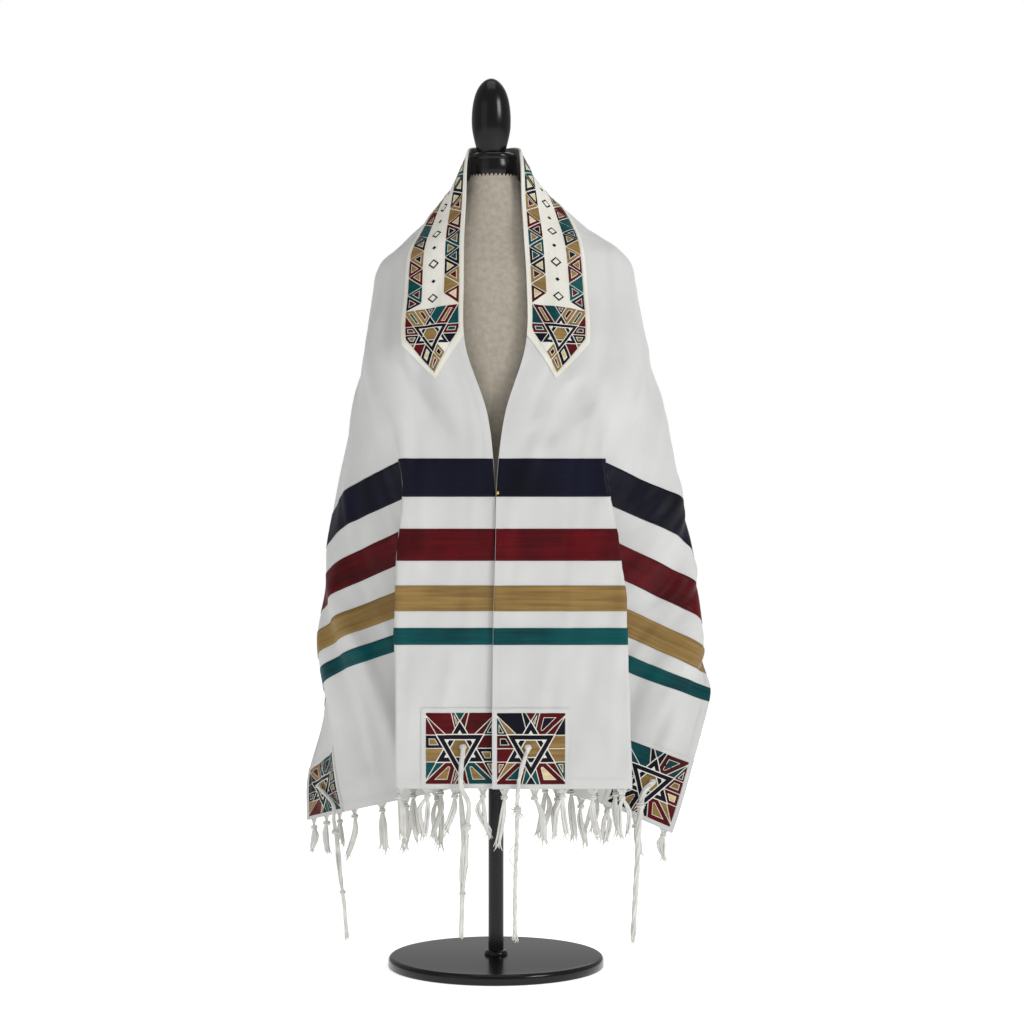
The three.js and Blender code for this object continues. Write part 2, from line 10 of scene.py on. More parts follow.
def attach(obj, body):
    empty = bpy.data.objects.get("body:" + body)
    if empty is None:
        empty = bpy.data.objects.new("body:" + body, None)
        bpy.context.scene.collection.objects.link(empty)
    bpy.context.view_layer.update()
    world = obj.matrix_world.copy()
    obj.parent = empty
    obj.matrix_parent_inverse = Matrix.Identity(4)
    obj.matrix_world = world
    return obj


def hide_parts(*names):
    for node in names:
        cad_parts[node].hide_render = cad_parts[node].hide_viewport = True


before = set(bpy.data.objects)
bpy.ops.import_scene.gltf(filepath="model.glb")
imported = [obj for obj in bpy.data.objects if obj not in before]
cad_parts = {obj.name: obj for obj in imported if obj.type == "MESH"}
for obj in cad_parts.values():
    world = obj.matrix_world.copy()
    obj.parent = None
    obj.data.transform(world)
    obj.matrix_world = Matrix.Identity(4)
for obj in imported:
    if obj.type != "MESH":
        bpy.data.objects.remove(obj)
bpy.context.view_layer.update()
mm = 0.001


def addObject(name, data):
    made = bpy.data.objects.new(name, data)
    bpy.context.collection.objects.link(made)
    return made


def meshFrom(bm, name, materials=()):
    mesh = bpy.data.meshes.new(name)
    bm.to_mesh(mesh)
    bm.free()
    for material in materials:
        mesh.materials.append(material)
    return mesh


def pieceFrom(bm, name, materials, replaced=(), smooth=True):
    mesh = meshFrom(bm, name, materials)
    if smooth:
        mesh.polygons.foreach_set("use_smooth", [True] * len(mesh.polygons))
    piece = addObject(name, mesh)
    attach(piece, "root")
    if replaced:
        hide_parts(*replaced)
    return piece


def withColumns(columns, rows):   # a table's rows, each value under its column's name
    return [dict(zip(columns, row)) for row in rows]


viewSettings = dict(lens=85, sensor=36, away=3.143, high=0.589, aside=0.0208)


def placeCamera():
    lens = bpy.data.cameras.new("camera")
    lens.lens = viewSettings["lens"]
    lens.sensor_width = viewSettings["sensor"]
    camera = addObject("camera", lens)
    camera.location = (viewSettings["aside"], -viewSettings["away"], viewSettings["high"])
    camera.rotation_euler = (math.radians(90), 0, 0)
    bpy.context.scene.camera = camera


placeCamera()
print("camera placed")


def shade(red, green, blue):   # display colour 0..255 to the linear colour that shaders take
    toLinear = lambda c: c / 12.92 if c <= 0.04045 else ((c + 0.055) / 1.055) ** 2.4
    return tuple(toLinear(c / 255) for c in (red, green, blue)) + (1.0,)


def smoothStep(low, high, value):
    t = np.clip((value - low) / (high - low), 0, 1)
    return t * t * (3 - 2 * t)


def hermite(t, start, stop, leaving, arriving):   # from start to stop, with the slope at each end
    return ((2 * t**3 - 3 * t**2 + 1) * start + (t**3 - 2 * t**2 + t) * leaving
            + (3 * t**2 - 2 * t**3) * stop + (t**3 - t**2) * arriving)


def fill(node, values):
    for name, value in values.items():
        node.inputs[name].default_value = value
    return node


class Shader:   # a material's nodes, added one by one
    def __init__(self, name, values):
        self.material = bpy.data.materials.new(name)
        self.material.use_nodes = True
        self.nodes = self.material.node_tree.nodes
        self.links = self.material.node_tree.links
        self.main = fill(self.nodes["Principled BSDF"], values)
        self.normal = None

    def node(self, kind, values, source, socket="Vector"):
        made = fill(self.nodes.new(kind), values)
        self.links.new(source, made.inputs[socket])
        return made

    def place(self, source="UV", stretch=(1, 1, 1)):
        where = self.nodes.new("ShaderNodeTexCoord").outputs[source]
        return self.node("ShaderNodeMapping", {"Scale": stretch}, where).outputs["Vector"]

    def noise(self, where, scale, detail=3.0):
        return self.node("ShaderNodeTexNoise", {"Scale": scale, "Detail": detail}, where).outputs["Fac"]

    def threads(self, where, pitch, direction):   # bands one thread apart, on coordinates in metres
        values = {"Scale": math.pi / 10 / pitch, "Distortion": 1.2, "Detail Scale": 60.0}
        made = self.node("ShaderNodeTexWave", values, where)
        made.bands_direction = direction
        return made.outputs["Fac"]

    def colours(self, factor, first, second, low=0.35, high=0.65):
        ramp = self.node("ShaderNodeValToRGB", {}, factor, "Fac")
        for element, position, colour in zip(ramp.color_ramp.elements, (low, high), (first, second)):
            element.position = position
            element.color = colour
        self.links.new(ramp.outputs["Color"], self.main.inputs["Base Color"])

    def bump(self, factor, strength, distance):
        made = self.node("ShaderNodeBump", {"Strength": strength, "Distance": distance}, factor, "Height")
        if self.normal:
            self.links.new(self.normal, made.inputs["Normal"])
        self.normal = made.outputs["Normal"]
        self.links.new(self.normal, self.main.inputs["Normal"])


weave = dict(roughness=0.85, depth=0.12 * mm, source="UV", mottle=14.0, strength=0.35, fluff=900.0)


def wovenCloth(name, light, dark, pitch, **changes):
    look = {**weave, **changes}
    shader = Shader(name, {"Base Color": light, "Roughness": look["roughness"], "Sheen Weight": 0.1,
                           "Sheen Roughness": 0.5})
    flat = shader.place(look["source"])
    shader.colours(shader.noise(flat, look["mottle"], 6.0), light, dark)
    for direction in ("X", "Y" if look["source"] == "UV" else "Z"):
        shader.bump(shader.threads(flat, pitch, direction), look["strength"], look["depth"])
    shader.bump(shader.noise(flat, look["fluff"]), 0.15, 0.2 * mm)
    return shader.material


satinLook = dict(pitch=0.5 * mm, slubs=(260, 9, 1), clouds=(9, 14, 1), waves=(20, 45, 1), waveDeep=1.6 * mm)


def satin(name, light, dark, slub):   # slubs run across the shawl; slub is their share of the colour
    shader = Shader(name, {"Base Color": light, "Roughness": 0.42, "Specular IOR Level": 0.12,
                           "Sheen Weight": 0.03, "Sheen Roughness": 0.4, "Anisotropic": 0.4})
    streaks = shader.noise(shader.place(stretch=satinLook["slubs"]), 1.0, 4.0)
    clouds = shader.noise(shader.place(stretch=satinLook["clouds"]), 1.0, 2.0)
    mixed = shader.nodes.new("ShaderNodeMix")
    mixed.inputs[0].default_value = slub
    shader.links.new(clouds, mixed.inputs[2])
    shader.links.new(streaks, mixed.inputs[3])
    shader.colours(mixed.outputs[0], dark, light, 0.38, 0.62)
    shader.bump(shader.noise(shader.place(stretch=satinLook["waves"]), 1.0), 0.5, satinLook["waveDeep"])
    shader.bump(streaks, 0.3, 0.25 * mm)
    shader.bump(shader.threads(shader.place(), satinLook["pitch"], "X"), 0.25, 0.08 * mm)
    return shader.material


def glossPaint(name, colour):
    shader = Shader(name, {"Base Color": colour, "Roughness": 0.2, "Specular IOR Level": 0.3})
    where = shader.place("Object")
    shader.bump(shader.noise(where, 9.0, 2.0), 0.25, 1.2 * mm)
    shader.bump(shader.noise(where, 420.0, 2.0), 0.05, 0.2 * mm)
    return shader.material


def cottonThread(name, light, dark):
    shader = Shader(name, {"Roughness": 0.85, "Sheen Weight": 0.15, "Sheen Roughness": 0.5})
    shader.colours(shader.noise(shader.place("Object"), 60.0), light, dark)
    fibres = shader.noise(shader.place("Object", stretch=(1, 1, 0.06)), 2600.0, 2.0)
    shader.bump(fibres, 0.6, 0.5 * mm)
    return shader.material


def polishedBrass(name, colour):
    shader = Shader(name, {"Base Color": colour, "Roughness": 0.25, "Metallic": 1.0})
    shader.bump(shader.noise(shader.place("Object"), 1500.0), 0.1, 0.1 * mm)
    return shader.material


white = wovenCloth("whiteCloth", shade(208, 208, 207), shade(202, 202, 200), 0.7 * mm)
cream = wovenCloth("creamBinding", shade(232, 230, 221), shade(222, 219, 206), 0.9 * mm, depth=0.2 * mm)
navy = satin("navySatin", shade(16, 17, 36), shade(8, 8, 18), 0.3)
burgundy = satin("burgundySatin", shade(96, 8, 18), shade(60, 5, 10), 0.35)
gold = satin("goldSatin", shade(150, 122, 72), shade(120, 95, 55), 0.65)
teal = satin("tealSatin", shade(6, 78, 80), shade(4, 52, 57), 0.35)
ivory = satin("ivorySatin", shade(226, 212, 172), shade(192, 170, 116), 0.5)
mosaicSlots = [cream, navy, burgundy, gold, teal, ivory]
cotton = cottonThread("cottonThread", shade(224, 224, 219), shade(206, 205, 199))
linenCloth = wovenCloth("linen", shade(180, 171, 157), shade(166, 157, 143), 1.3 * mm, roughness=0.95,
                        depth=0.4 * mm, source="Object", mottle=150.0)
blackGloss = glossPaint("blackGloss", shade(10, 10, 10))
brass = polishedBrass("brass", shade(214, 180, 96))
print("materials ready")

# A point of the shawl is (run, v): run goes along the cloth from the left hem (0) over the neck (0.9)
# to the right hem (1.8), v across it from the inner edge (0) to the outer edge (0.5).
cut = dict(width=0.5, half=0.9, far=1.8)

# Each half's sections, q mm up from its hem: corners as (out, y, z) in mm, then how far each bend is rounded.
bends = ("inner", "crease", "tuck", "side", "edge")
sectionColumns = ("q",) + bends + ("round",)
rightSections = withColumns(sectionColumns, (
    (0, (-4, -124, 243), (174, -120, 243), (46, -36, 240), (150, -52, 212), (222, -62, 181), (6, 20, 40)),
    (100, (-4, -124, 343), (172, -121, 343), (62, -38, 337), (178, -45, 300), (255, -25, 268), (6, 20, 45)),
    (191, (-3, -124, 434), (168, -121, 434), (78, -42, 433), (215, -28, 376), (281, 12, 350), (6, 20, 50)),
    (238, (-2, -124, 481), (166, -121, 481), (92, -50, 482), (266, -14, 402), (272, 45, 388), (6, 18, 30)),
    (305, (0, -123, 548), (158, -120, 548), (110, -70, 550), (268, 0, 474), (256, 92, 425), (6, 15, 30)),
    (390, (2, -122, 633), (142, -119, 633), (122, -98, 634), (258, 0, 577), (232, 135, 478), (8, 12, 35)),
    (470, (12, -118, 712), (138, -114, 712), (152, -98, 708), (240, 5, 660), (205, 150, 520), (15, 20, 50)),
    (560, (38, -112, 800), (126, -104, 798), (170, -72, 788), (225, 15, 745), (170, 150, 550), (30, 30, 50)),
    (646, (39, -90, 885), (105, -82, 874), (172, -46, 862), (200, 20, 810), (135, 145, 570), (35, 30, 45)),
    (700, (36, -76, 935), (100, -62, 924), (176, -14, 918), (188, 45, 855), (112, 140, 580), (35, 25, 45)),
    (754, (33, -56, 985), (88, -36, 960), (156, 18, 938), (168, 66, 878), (85, 135, 585), (30, 25, 45)),
    (820, (31, -36, 1046), (62, -10, 1005), (112, 34, 956), (138, 80, 895), (50, 130, 590), (25, 30, 45)),
    (862, (27, 0, 1062), (38, 30, 1020), (64, 66, 965), (82, 98, 900), (25, 128, 590), (25, 35, 50)),
    (900, (0, 30, 1064), (0, 52, 1026), (0, 76, 970), (0, 100, 900), (0, 125, 590), (25, 35, 50)),
))
leftSections = withColumns(sectionColumns, (
    (0, (-4, -116, 243), (129, -120, 243), (36, -56, 240), (170, -54, 211), (236, 42, 186), (6, 20, 40)),
    (100, (-4, -117, 343), (129, -121, 343), (52, -68, 346), (188, -50, 306), (238, 62, 256), (6, 20, 45)),
    (191, (-3, -118, 434), (129, -121, 434), (68, -80, 444), (226, -44, 389), (226, 96, 333), (6, 20, 50)),
    (238, (-2, -118, 481), (128, -121, 481), (78, -88, 490), (238, -34, 428), (220, 116, 370), (6, 20, 55)),
    (305, (-1, -118, 548), (126, -120, 548), (96, -98, 556), (230, -28, 494), (214, 135, 415), (6, 12, 50)),
    (390, (1, -118, 633), (119, -118, 633), (108, -104, 634), (219, -20, 586), (205, 150, 475), (8, 10, 50)),
    (470, (10, -117, 712), (120, -112, 712), (144, -96, 706), (208, 5, 660), (190, 155, 515), (15, 20, 50)),
    (560, (38, -112, 800), (118, -102, 798), (156, -72, 788), (192, 15, 745), (162, 152, 550), (30, 30, 50)),
    (646, (40, -90, 885), (100, -80, 872), (152, -46, 858), (174, 20, 805), (132, 145, 570), (35, 30, 45)),
    (700, (40, -76, 935), (94, -62, 920), (156, -14, 908), (162, 45, 848), (110, 140, 580), (35, 25, 45)),
    (754, (38, -56, 985), (84, -36, 954), (142, 18, 925), (155, 66, 868), (84, 135, 585), (30, 25, 45)),
    (820, (36, -34, 1046), (60, -10, 1000), (108, 34, 948), (132, 80, 890), (50, 130, 590), (25, 30, 45)),
    (862, (30, 0, 1062), (40, 30, 1020), (64, 66, 963), (80, 98, 900), (25, 128, 590), (25, 35, 50)),
    (900, (0, 30, 1064), (0, 52, 1026), (0, 76, 970), (0, 100, 900), (0, 125, 590), (25, 35, 50)),
))
flutes = dict(start=490, stop=892, count=4, deep=42, grows=250, width=500, sideways=0.5, axisY=-15)
grid = dict(step=0.002, bendSteps=8, evenings=12)

# Soft troughs (deep < 0) and ridges, from one place to another, with their half width. The run of the right
# half's is counted from its own hem.
foldColumns = ("fromRun", "fromV", "toRun", "toV", "wide", "deep")
leftFolds = (
    (0.700, 0.108, 0.560, 0.104, 0.017, -0.0085),
    (0.650, 0.150, 0.470, 0.128, 0.022, 0.0050),
    (0.548, 0.098, 0.425, 0.052, 0.019, -0.0115),
    (0.500, 0.120, 0.370, 0.104, 0.014, 0.0035),
    (0.640, 0.200, 0.430, 0.215, 0.020, -0.0060),
    (0.560, 0.260, 0.330, 0.270, 0.024, -0.0045),
    (0.170, 0.060, 0.110, 0.064, 0.012, 0.0016),
    (0.340, 0.330, 0.060, 0.345, 0.016, -0.0085),
    (0.300, 0.300, 0.020, 0.296, 0.013, 0.0065),
    (0.260, 0.440, 0.100, 0.425, 0.018, -0.0030),
    (0.840, 0.180, 0.800, 0.420, 0.022, 0.0050),
    (0.780, 0.140, 0.730, 0.330, 0.018, -0.0045),
    (0.900, 0.200, 0.905, 0.440, 0.026, -0.0040),
)
rightFolds = (
    (0.690, 0.112, 0.530, 0.110, 0.017, -0.0070),
    (0.650, 0.150, 0.480, 0.140, 0.020, 0.0045),
    (0.505, 0.072, 0.470, 0.100, 0.015, -0.0080),
    (0.452, 0.038, 0.436, 0.066, 0.012, -0.0055),
    (0.610, 0.210, 0.400, 0.225, 0.022, -0.0085),
    (0.520, 0.270, 0.300, 0.300, 0.018, 0.0040),
    (0.430, 0.330, 0.240, 0.360, 0.018, -0.0070),
    (0.250, 0.400, 0.070, 0.392, 0.015, -0.0070),
    (0.220, 0.450, 0.090, 0.458, 0.015, 0.0030),
    (0.160, 0.120, 0.060, 0.126, 0.013, -0.0020),
    (0.845, 0.170, 0.815, 0.430, 0.022, 0.0040),
    (0.770, 0.150, 0.725, 0.350, 0.018, -0.0040),
)
folds = withColumns(foldColumns, leftFolds + tuple(
    (cut["far"] - fromRun, fromV, cut["far"] - toRun, toV, wide, deep)
    for fromRun, fromV, toRun, toV, wide, deep in rightFolds))
ripples = withColumns(("along", "across", "high", "shift"), (   # gentle unevenness of the hanging cloth
    (0.31, 0.085, 0.0011, 0.7),
    (0.17, 0.052, 0.0006, 2.1),
    (0.45, 0.031, 0.0004, 4.0),
))


def between(rows, name, q):
    low = 0
    while low < len(rows) - 2 and q > rows[low + 1]["q"]:
        low += 1
    value = lambda i: np.array(rows[i][name], float)
    rise = lambda i: (value(i + 1) - value(i)) / (rows[i + 1]["q"] - rows[i]["q"])

    def slope(i):
        if i == 0:
            return rise(0)
        if i == len(rows) - 1:
            return rise(i - 1)
        before = rows[i]["q"] - rows[i - 1]["q"]
        after = rows[i + 1]["q"] - rows[i]["q"]
        return (rise(i - 1) * after + rise(i) * before) / (before + after)

    step = rows[low + 1]["q"] - rows[low]["q"]
    t = (q - rows[low]["q"]) / step
    return hermite(t, value(low), value(low + 1), step * slope(low), step * slope(low + 1))


def sectionPath(rows, q):
    corners = [between(rows, name, q) for name in bends]
    reach = between(rows, "round", q)
    path = [corners[0]]
    for bend in (1, 2, 3):
        toBefore = corners[bend - 1] - corners[bend]
        toAfter = corners[bend + 1] - corners[bend]
        lengths = np.linalg.norm(toBefore), np.linalg.norm(toAfter)
        far = min(reach[bend - 1], 0.46 * lengths[0], 0.46 * lengths[1])
        first = corners[bend] + toBefore * far / lengths[0]
        last = corners[bend] + toAfter * far / lengths[1]
        for k in range(grid["bendSteps"] + 1):
            t = k / grid["bendSteps"]
            path.append((1 - t) ** 2 * first + 2 * t * (1 - t) * corners[bend] + t * t * last)
    path.append(corners[4])
    return np.array(path)


def sectionAt(side, q, across):   # places at the distances across, in mm
    path = sectionPath(rightSections if side > 0 else leftSections, q)
    steps = np.linalg.norm(np.diff(path, axis=0), axis=1)
    if steps.sum() < flutes["width"]:
        path[-1] += (path[-1] - path[-2]) / steps[-1] * (flutes["width"] - steps.sum())
        steps = np.linalg.norm(np.diff(path, axis=0), axis=1)
    walked = np.concatenate([[0], np.cumsum(steps)])
    place = np.stack([np.interp(across, walked, path[:, axis]) for axis in range(3)], axis=1)
    if flutes["start"] < q < flutes["stop"]:
        turn = (q - flutes["start"]) / (flutes["stop"] - flutes["start"])
        grown = smoothStep(flutes["grows"], flutes["width"], across)
        wave = flutes["deep"] * grown * 0.5 * (1 - math.cos(2 * math.pi * flutes["count"] * turn))
        out = np.stack([place[:, 0] * flutes["sideways"], place[:, 1] - flutes["axisY"]], axis=1)
        place[:, :2] += out / np.linalg.norm(out, axis=1)[:, None] * wave[:, None]
    place[:, 0] *= side
    return place * mm


def outwardOf(place):
    normal = np.cross(np.gradient(place, axis=0), np.gradient(place, axis=1))
    return normal / np.linalg.norm(normal, axis=2)[:, :, None]


def smoothOver(place, rounds):   # evens the creases of the sections out along the cloth
    for _ in range(rounds):
        place[1:-1] = (place[:-2] + 2 * place[1:-1] + place[2:]) / 4
    return place


def foldHeights(runs, across):
    run, v = np.meshgrid(runs, across, indexing="ij")
    height = np.zeros_like(run)
    for fold in folds:
        start = np.array((fold["fromRun"], fold["fromV"]))
        way = np.array((fold["toRun"], fold["toV"])) - start
        share = ((run - start[0]) * way[0] + (v - start[1]) * way[1]) / (way @ way)
        held = np.clip(share, 0, 1)
        away = np.hypot(run - start[0] - held * way[0], v - start[1] - held * way[1])
        taper = smoothStep(-0.25, 0.3, share) * smoothStep(1.25, 0.7, share)
        height += fold["deep"] * taper * np.exp(-(away / fold["wide"]) ** 2)
    for ripple in ripples:
        phase = 2 * math.pi * (run / ripple["along"] + v / ripple["across"]) + ripple["shift"]
        calm = smoothStep(0, 0.03, v) * smoothStep(0, 0.05, run) * smoothStep(0, 0.05, cut["far"] - run)
        height += ripple["high"] * np.sin(phase + 1.3 * np.sin(3 * phase / 7)) * calm
    return height


def layCloth():
    runs = np.arange(0, cut["far"] + 1e-9, grid["step"])
    across = np.arange(0, cut["width"] + 1e-9, grid["step"])
    rows = []
    for run in runs:
        left = run <= cut["half"]
        q = (run if left else cut["far"] - run) / mm
        rows.append(sectionAt(-1 if left else 1, q, across / mm))
    place = smoothOver(np.array(rows), grid["evenings"])
    place += outwardOf(place) * foldHeights(runs, across)[:, :, None]
    return place, outwardOf(place)


clothPlace, clothOut = layCloth()
print("cloth surface laid")


def onCloth(run, v, lift=0.0):   # world places of flat places, lifted off the middle of the cloth
    run, v = np.atleast_1d(run), np.atleast_1d(v)
    row = np.clip(run, 0, cut["far"]) / grid["step"]
    column = np.clip(v, 0, cut["width"]) / grid["step"]
    i = np.minimum(row.astype(int), clothPlace.shape[0] - 2)
    j = np.minimum(column.astype(int), clothPlace.shape[1] - 2)
    a, b = (row - i)[:, None], (column - j)[:, None]

    def mixed(table):
        near = table[i, j] * (1 - b) + table[i, j + 1] * b
        far = table[i + 1, j] * (1 - b) + table[i + 1, j + 1] * b
        return near * (1 - a) + far * a

    out = mixed(clothOut)
    out /= np.linalg.norm(out, axis=1)[:, None]
    return mixed(clothPlace) + out * np.atleast_1d(lift)[:, None]


def layFlat(bm):   # keeps the flat pattern as the UV map, then lays the piece on the cloth's surface
    flat = bm.loops.layers.uv.new("flat")
    for face in bm.faces:
        for loop in face.loops:
            loop[flat].uv = loop.vert.co.xy
    places = np.array([vert.co[:] for vert in bm.verts])
    for vert, place in zip(bm.verts, onCloth(places[:, 0], places[:, 1], places[:, 2])):
        vert.co = place


def flatGrid(runFrom, runTo, vFrom, vTo, spacing, low, high):   # a closed wall, still flat
    bm = bmesh.new()
    counts = [max(2, round(abs(b - a) / spacing)) for a, b in ((runFrom, runTo), (vFrom, vTo))]
    bmesh.ops.create_grid(bm, x_segments=counts[0], y_segments=counts[1], size=0.5)
    bmesh.ops.scale(bm, verts=bm.verts, vec=(runTo - runFrom, vTo - vFrom, 1))
    middle = ((runFrom + runTo) / 2, (vFrom + vTo) / 2, high)
    bmesh.ops.translate(bm, verts=bm.verts, vec=middle)
    thicken(bm, high - low)
    return bm


def thicken(bm, thickness):   # the faces stay on top and the wall grows down from them
    bmesh.ops.recalc_face_normals(bm, faces=bm.faces)
    if sum(face.normal.z for face in bm.faces) < 0:
        bmesh.ops.reverse_faces(bm, faces=bm.faces)
    bmesh.ops.solidify(bm, geom=bm.faces, thickness=thickness)


shawl = dict(thick=1.1 * mm, spacing=3.4 * mm, shoulder=0.7495, gap=0.01 * mm)


def sewShawl():
    low, high = -shawl["thick"] / 2, shawl["thick"] / 2
    shoulder, gap = shawl["shoulder"], shawl["gap"]
    stretches = {
        "shawlLeftFront": (0, shoulder - gap, "shawl_left_front"),
        "shawlBack": (shoulder, cut["far"] - shoulder, "shawl_back"),
        "shawlRightFront": (cut["far"] - shoulder + gap, cut["far"], "shawl_right_front"),
    }
    for name, (start, stop, node) in stretches.items():
        bm = flatGrid(start, stop, 0, cut["width"], shawl["spacing"], low, high)
        layFlat(bm)
        pieceFrom(bm, name, [white], [node])
        print(name, "laid")


sewShawl()


stripeSettings = dict(low=0.75 * mm, high=1.2 * mm, spacing=3 * mm, edge=0.4 * mm)
stripes = withColumns(("name", "start", "stop", "satin"), (
    ("navy", 0.365, 0.413, navy),
    ("burgundy", 0.285, 0.325, burgundy),
    ("gold", 0.222, 0.254, gold),
    ("teal", 0.180, 0.201, teal),
))


def sewStripes():
    low, high, spacing, edge = (stripeSettings[key] for key in ("low", "high", "spacing", "edge"))
    for stripe in stripes:
        colour, start, stop = stripe["name"], stripe["start"], stripe["stop"]
        for side in ("left", "right"):
            if side == "right":
                start, stop = cut["far"] - stop, cut["far"] - start
            bm = flatGrid(start, stop, edge, cut["width"] - edge, spacing, low, high)
            layFlat(bm)
            piece = pieceFrom(bm, f"stripe{colour.title()}{side.title()}", [stripe["satin"]],
                              [f"stripe_{colour}_{side}"])
    print("stripes sewn")


sewStripes()


# Flat patterns: outlines, cuts and stitches on the flat cloth, before they are laid on it.
def beside(centre, degrees, far):   # a place on the flat pattern, so far from another
    turn = math.radians(degrees)
    return centre[0] + far * math.cos(turn), centre[1] + far * math.sin(turn)


def sidesOfOutline(corners):
    return list(zip(corners, corners[1:] + corners[:1]))


def doubleArea(corners):
    return sum(a[0] * b[1] - b[0] * a[1] for a, b in sidesOfOutline(corners))


def outlineFace(bm, corners, height=0.0, slotIndex=0):
    face = bm.faces.new([bm.verts.new((*corner, height)) for corner in corners])
    face.material_index = slotIndex
    return face


def cutLine(bm, faces, point, normal):   # cuts the given faces along a straight line
    around = set(faces)
    for face in faces:
        around.update(face.edges)
        around.update(face.verts)
    bmesh.ops.bisect_plane(bm, geom=list(around), dist=1e-7, plane_co=(*point, 0), plane_no=(*normal, 0))


def cutForFolds(bm, spacing=7 * mm):   # lets flat pieces follow the surface of the cloth
    for axis, normal in enumerate(((1, 0), (0, 1))):
        places = [vert.co[axis] for vert in bm.verts]
        for k in range(math.ceil(min(places) / spacing), math.floor(max(places) / spacing) + 1):
            cutLine(bm, bm.faces[:], (k * spacing, k * spacing), normal)


def shrink(corners, by):   # a convex outline with each side moved inward; empty where nothing is left
    corners = corners if doubleArea(corners) > 0 else corners[::-1]
    shape = corners
    for a, b in sidesOfOutline(corners):
        length = math.dist(a, b)
        inward = ((a[1] - b[1]) / length, (b[0] - a[0]) / length)
        depths = [(x - a[0]) * inward[0] + (y - a[1]) * inward[1] - by for x, y in shape]
        kept = []
        for (here, after), (depth, afterDepth) in zip(sidesOfOutline(shape), sidesOfOutline(depths)):
            if depth >= 0:
                kept.append(here)
            if depth * afterDepth < 0:
                t = depth / (depth - afterDepth)
                kept.append((here[0] + (after[0] - here[0]) * t, here[1] + (after[1] - here[1]) * t))
        shape = [one for k, one in enumerate(kept) if math.dist(one, kept[k - 1]) > 0.05 * mm]
        if len(shape) < 3:
            return []
    return shape


def joinInto(target, source):   # adds one bmesh to another
    mesh = meshFrom(source, "part")
    target.from_mesh(mesh)
    bpy.data.meshes.remove(mesh)


def layerOf(faces, low, high):   # closed thin patches of (outline, material) between two heights
    bm = bmesh.new()
    for outline, slotIndex in faces:
        outlineFace(bm, outline, 0, slotIndex)
    cutForFolds(bm)
    bmesh.ops.translate(bm, verts=bm.verts, vec=(0, 0, high))
    thicken(bm, high - low)
    return bm


def mirrorRun(bm):   # the same piece on the right half
    bmesh.ops.scale(bm, verts=bm.verts, vec=(-1, 1, 1))
    bmesh.ops.translate(bm, verts=bm.verts, vec=(cut["far"], 0, 0))
    bmesh.ops.reverse_faces(bm, faces=bm.faces)


stitch = dict(long=2.3 * mm, gap=1.3 * mm, wide=0.5 * mm, high=0.35 * mm)


def stitchRow(bm, corners, lift):   # a row of stitches along straight stretches of the flat pattern
    for start, end in zip(corners[:-1], corners[1:]):
        way = Vector(end) - Vector(start)
        count = max(1, int(way.length / (stitch["long"] + stitch["gap"])))
        for k in range(count):
            middle = Vector(start) + way * (k + 0.5) / count
            turn = Matrix.Rotation(math.atan2(way.y, way.x), 4, "Z")
            size = Matrix.Diagonal((stitch["long"], stitch["wide"], stitch["high"], 1))
            bmesh.ops.create_cube(bm, size=1, matrix=Matrix.Translation((*middle, lift)) @ turn @ size)


# Patchwork: regular bursts of satin shards between light lines, round a six-pointed star.
patch = dict(low=1.15 * mm, high=1.5 * mm, layer=0.14 * mm, line=0.65 * mm, innerLine=0.7 * mm,
             innerShare=0.46, least=0.5 * mm, leastRoom=3.4 * mm, plainShare=0.3, raysFrom=0.72,
             ringsFrom=1.02, starTo=0.95, heartTo=0.3, starLift=0.2 * mm, ground=(0.6 * mm, 1.1 * mm))
creamSlot, navySlot, burgundySlot, goldSlot, tealSlot, ivorySlot = range(6)
patchSlots = (navySlot, burgundySlot, goldSlot, tealSlot)


def starTips(centre, radius, flip):   # the corners of one of the star's two triangles
    return [beside(centre, turn + flip, radius) for turn in (0, 120, 240)]


def shardsAround(outline, centre, radius, rays, rings):   # the cells between the star's lines and its rays
    bm = bmesh.new()
    outlineFace(bm, outline)
    beyond = lambda far: [face for face in bm.faces if math.dist(face.calc_center_median().xy, centre) > far]
    for turn in range(0, 360, 60):
        cutLine(bm, bm.faces[:], beside(centre, turn, radius / 2), beside((0, 0), turn, 1))
    for turn in rays:
        cutLine(bm, beyond(radius * patch["raysFrom"]), centre, beside((0, 0), turn - 90, 1))
    for turn, share in rings:
        outer = beyond(radius * patch["ringsFrom"])
        cutLine(bm, outer, beside(centre, turn, radius * share), beside((0, 0), turn, 1))
    cells = [[tuple(vert.co.xy) for vert in face.verts] for face in bm.faces]
    bm.free()
    return cells


def roomIn(outline):   # radius of the largest disc that about fits in an outline
    return abs(doubleArea(outline)) / sum(math.dist(a, b) for a, b in sidesOfOutline(outline))


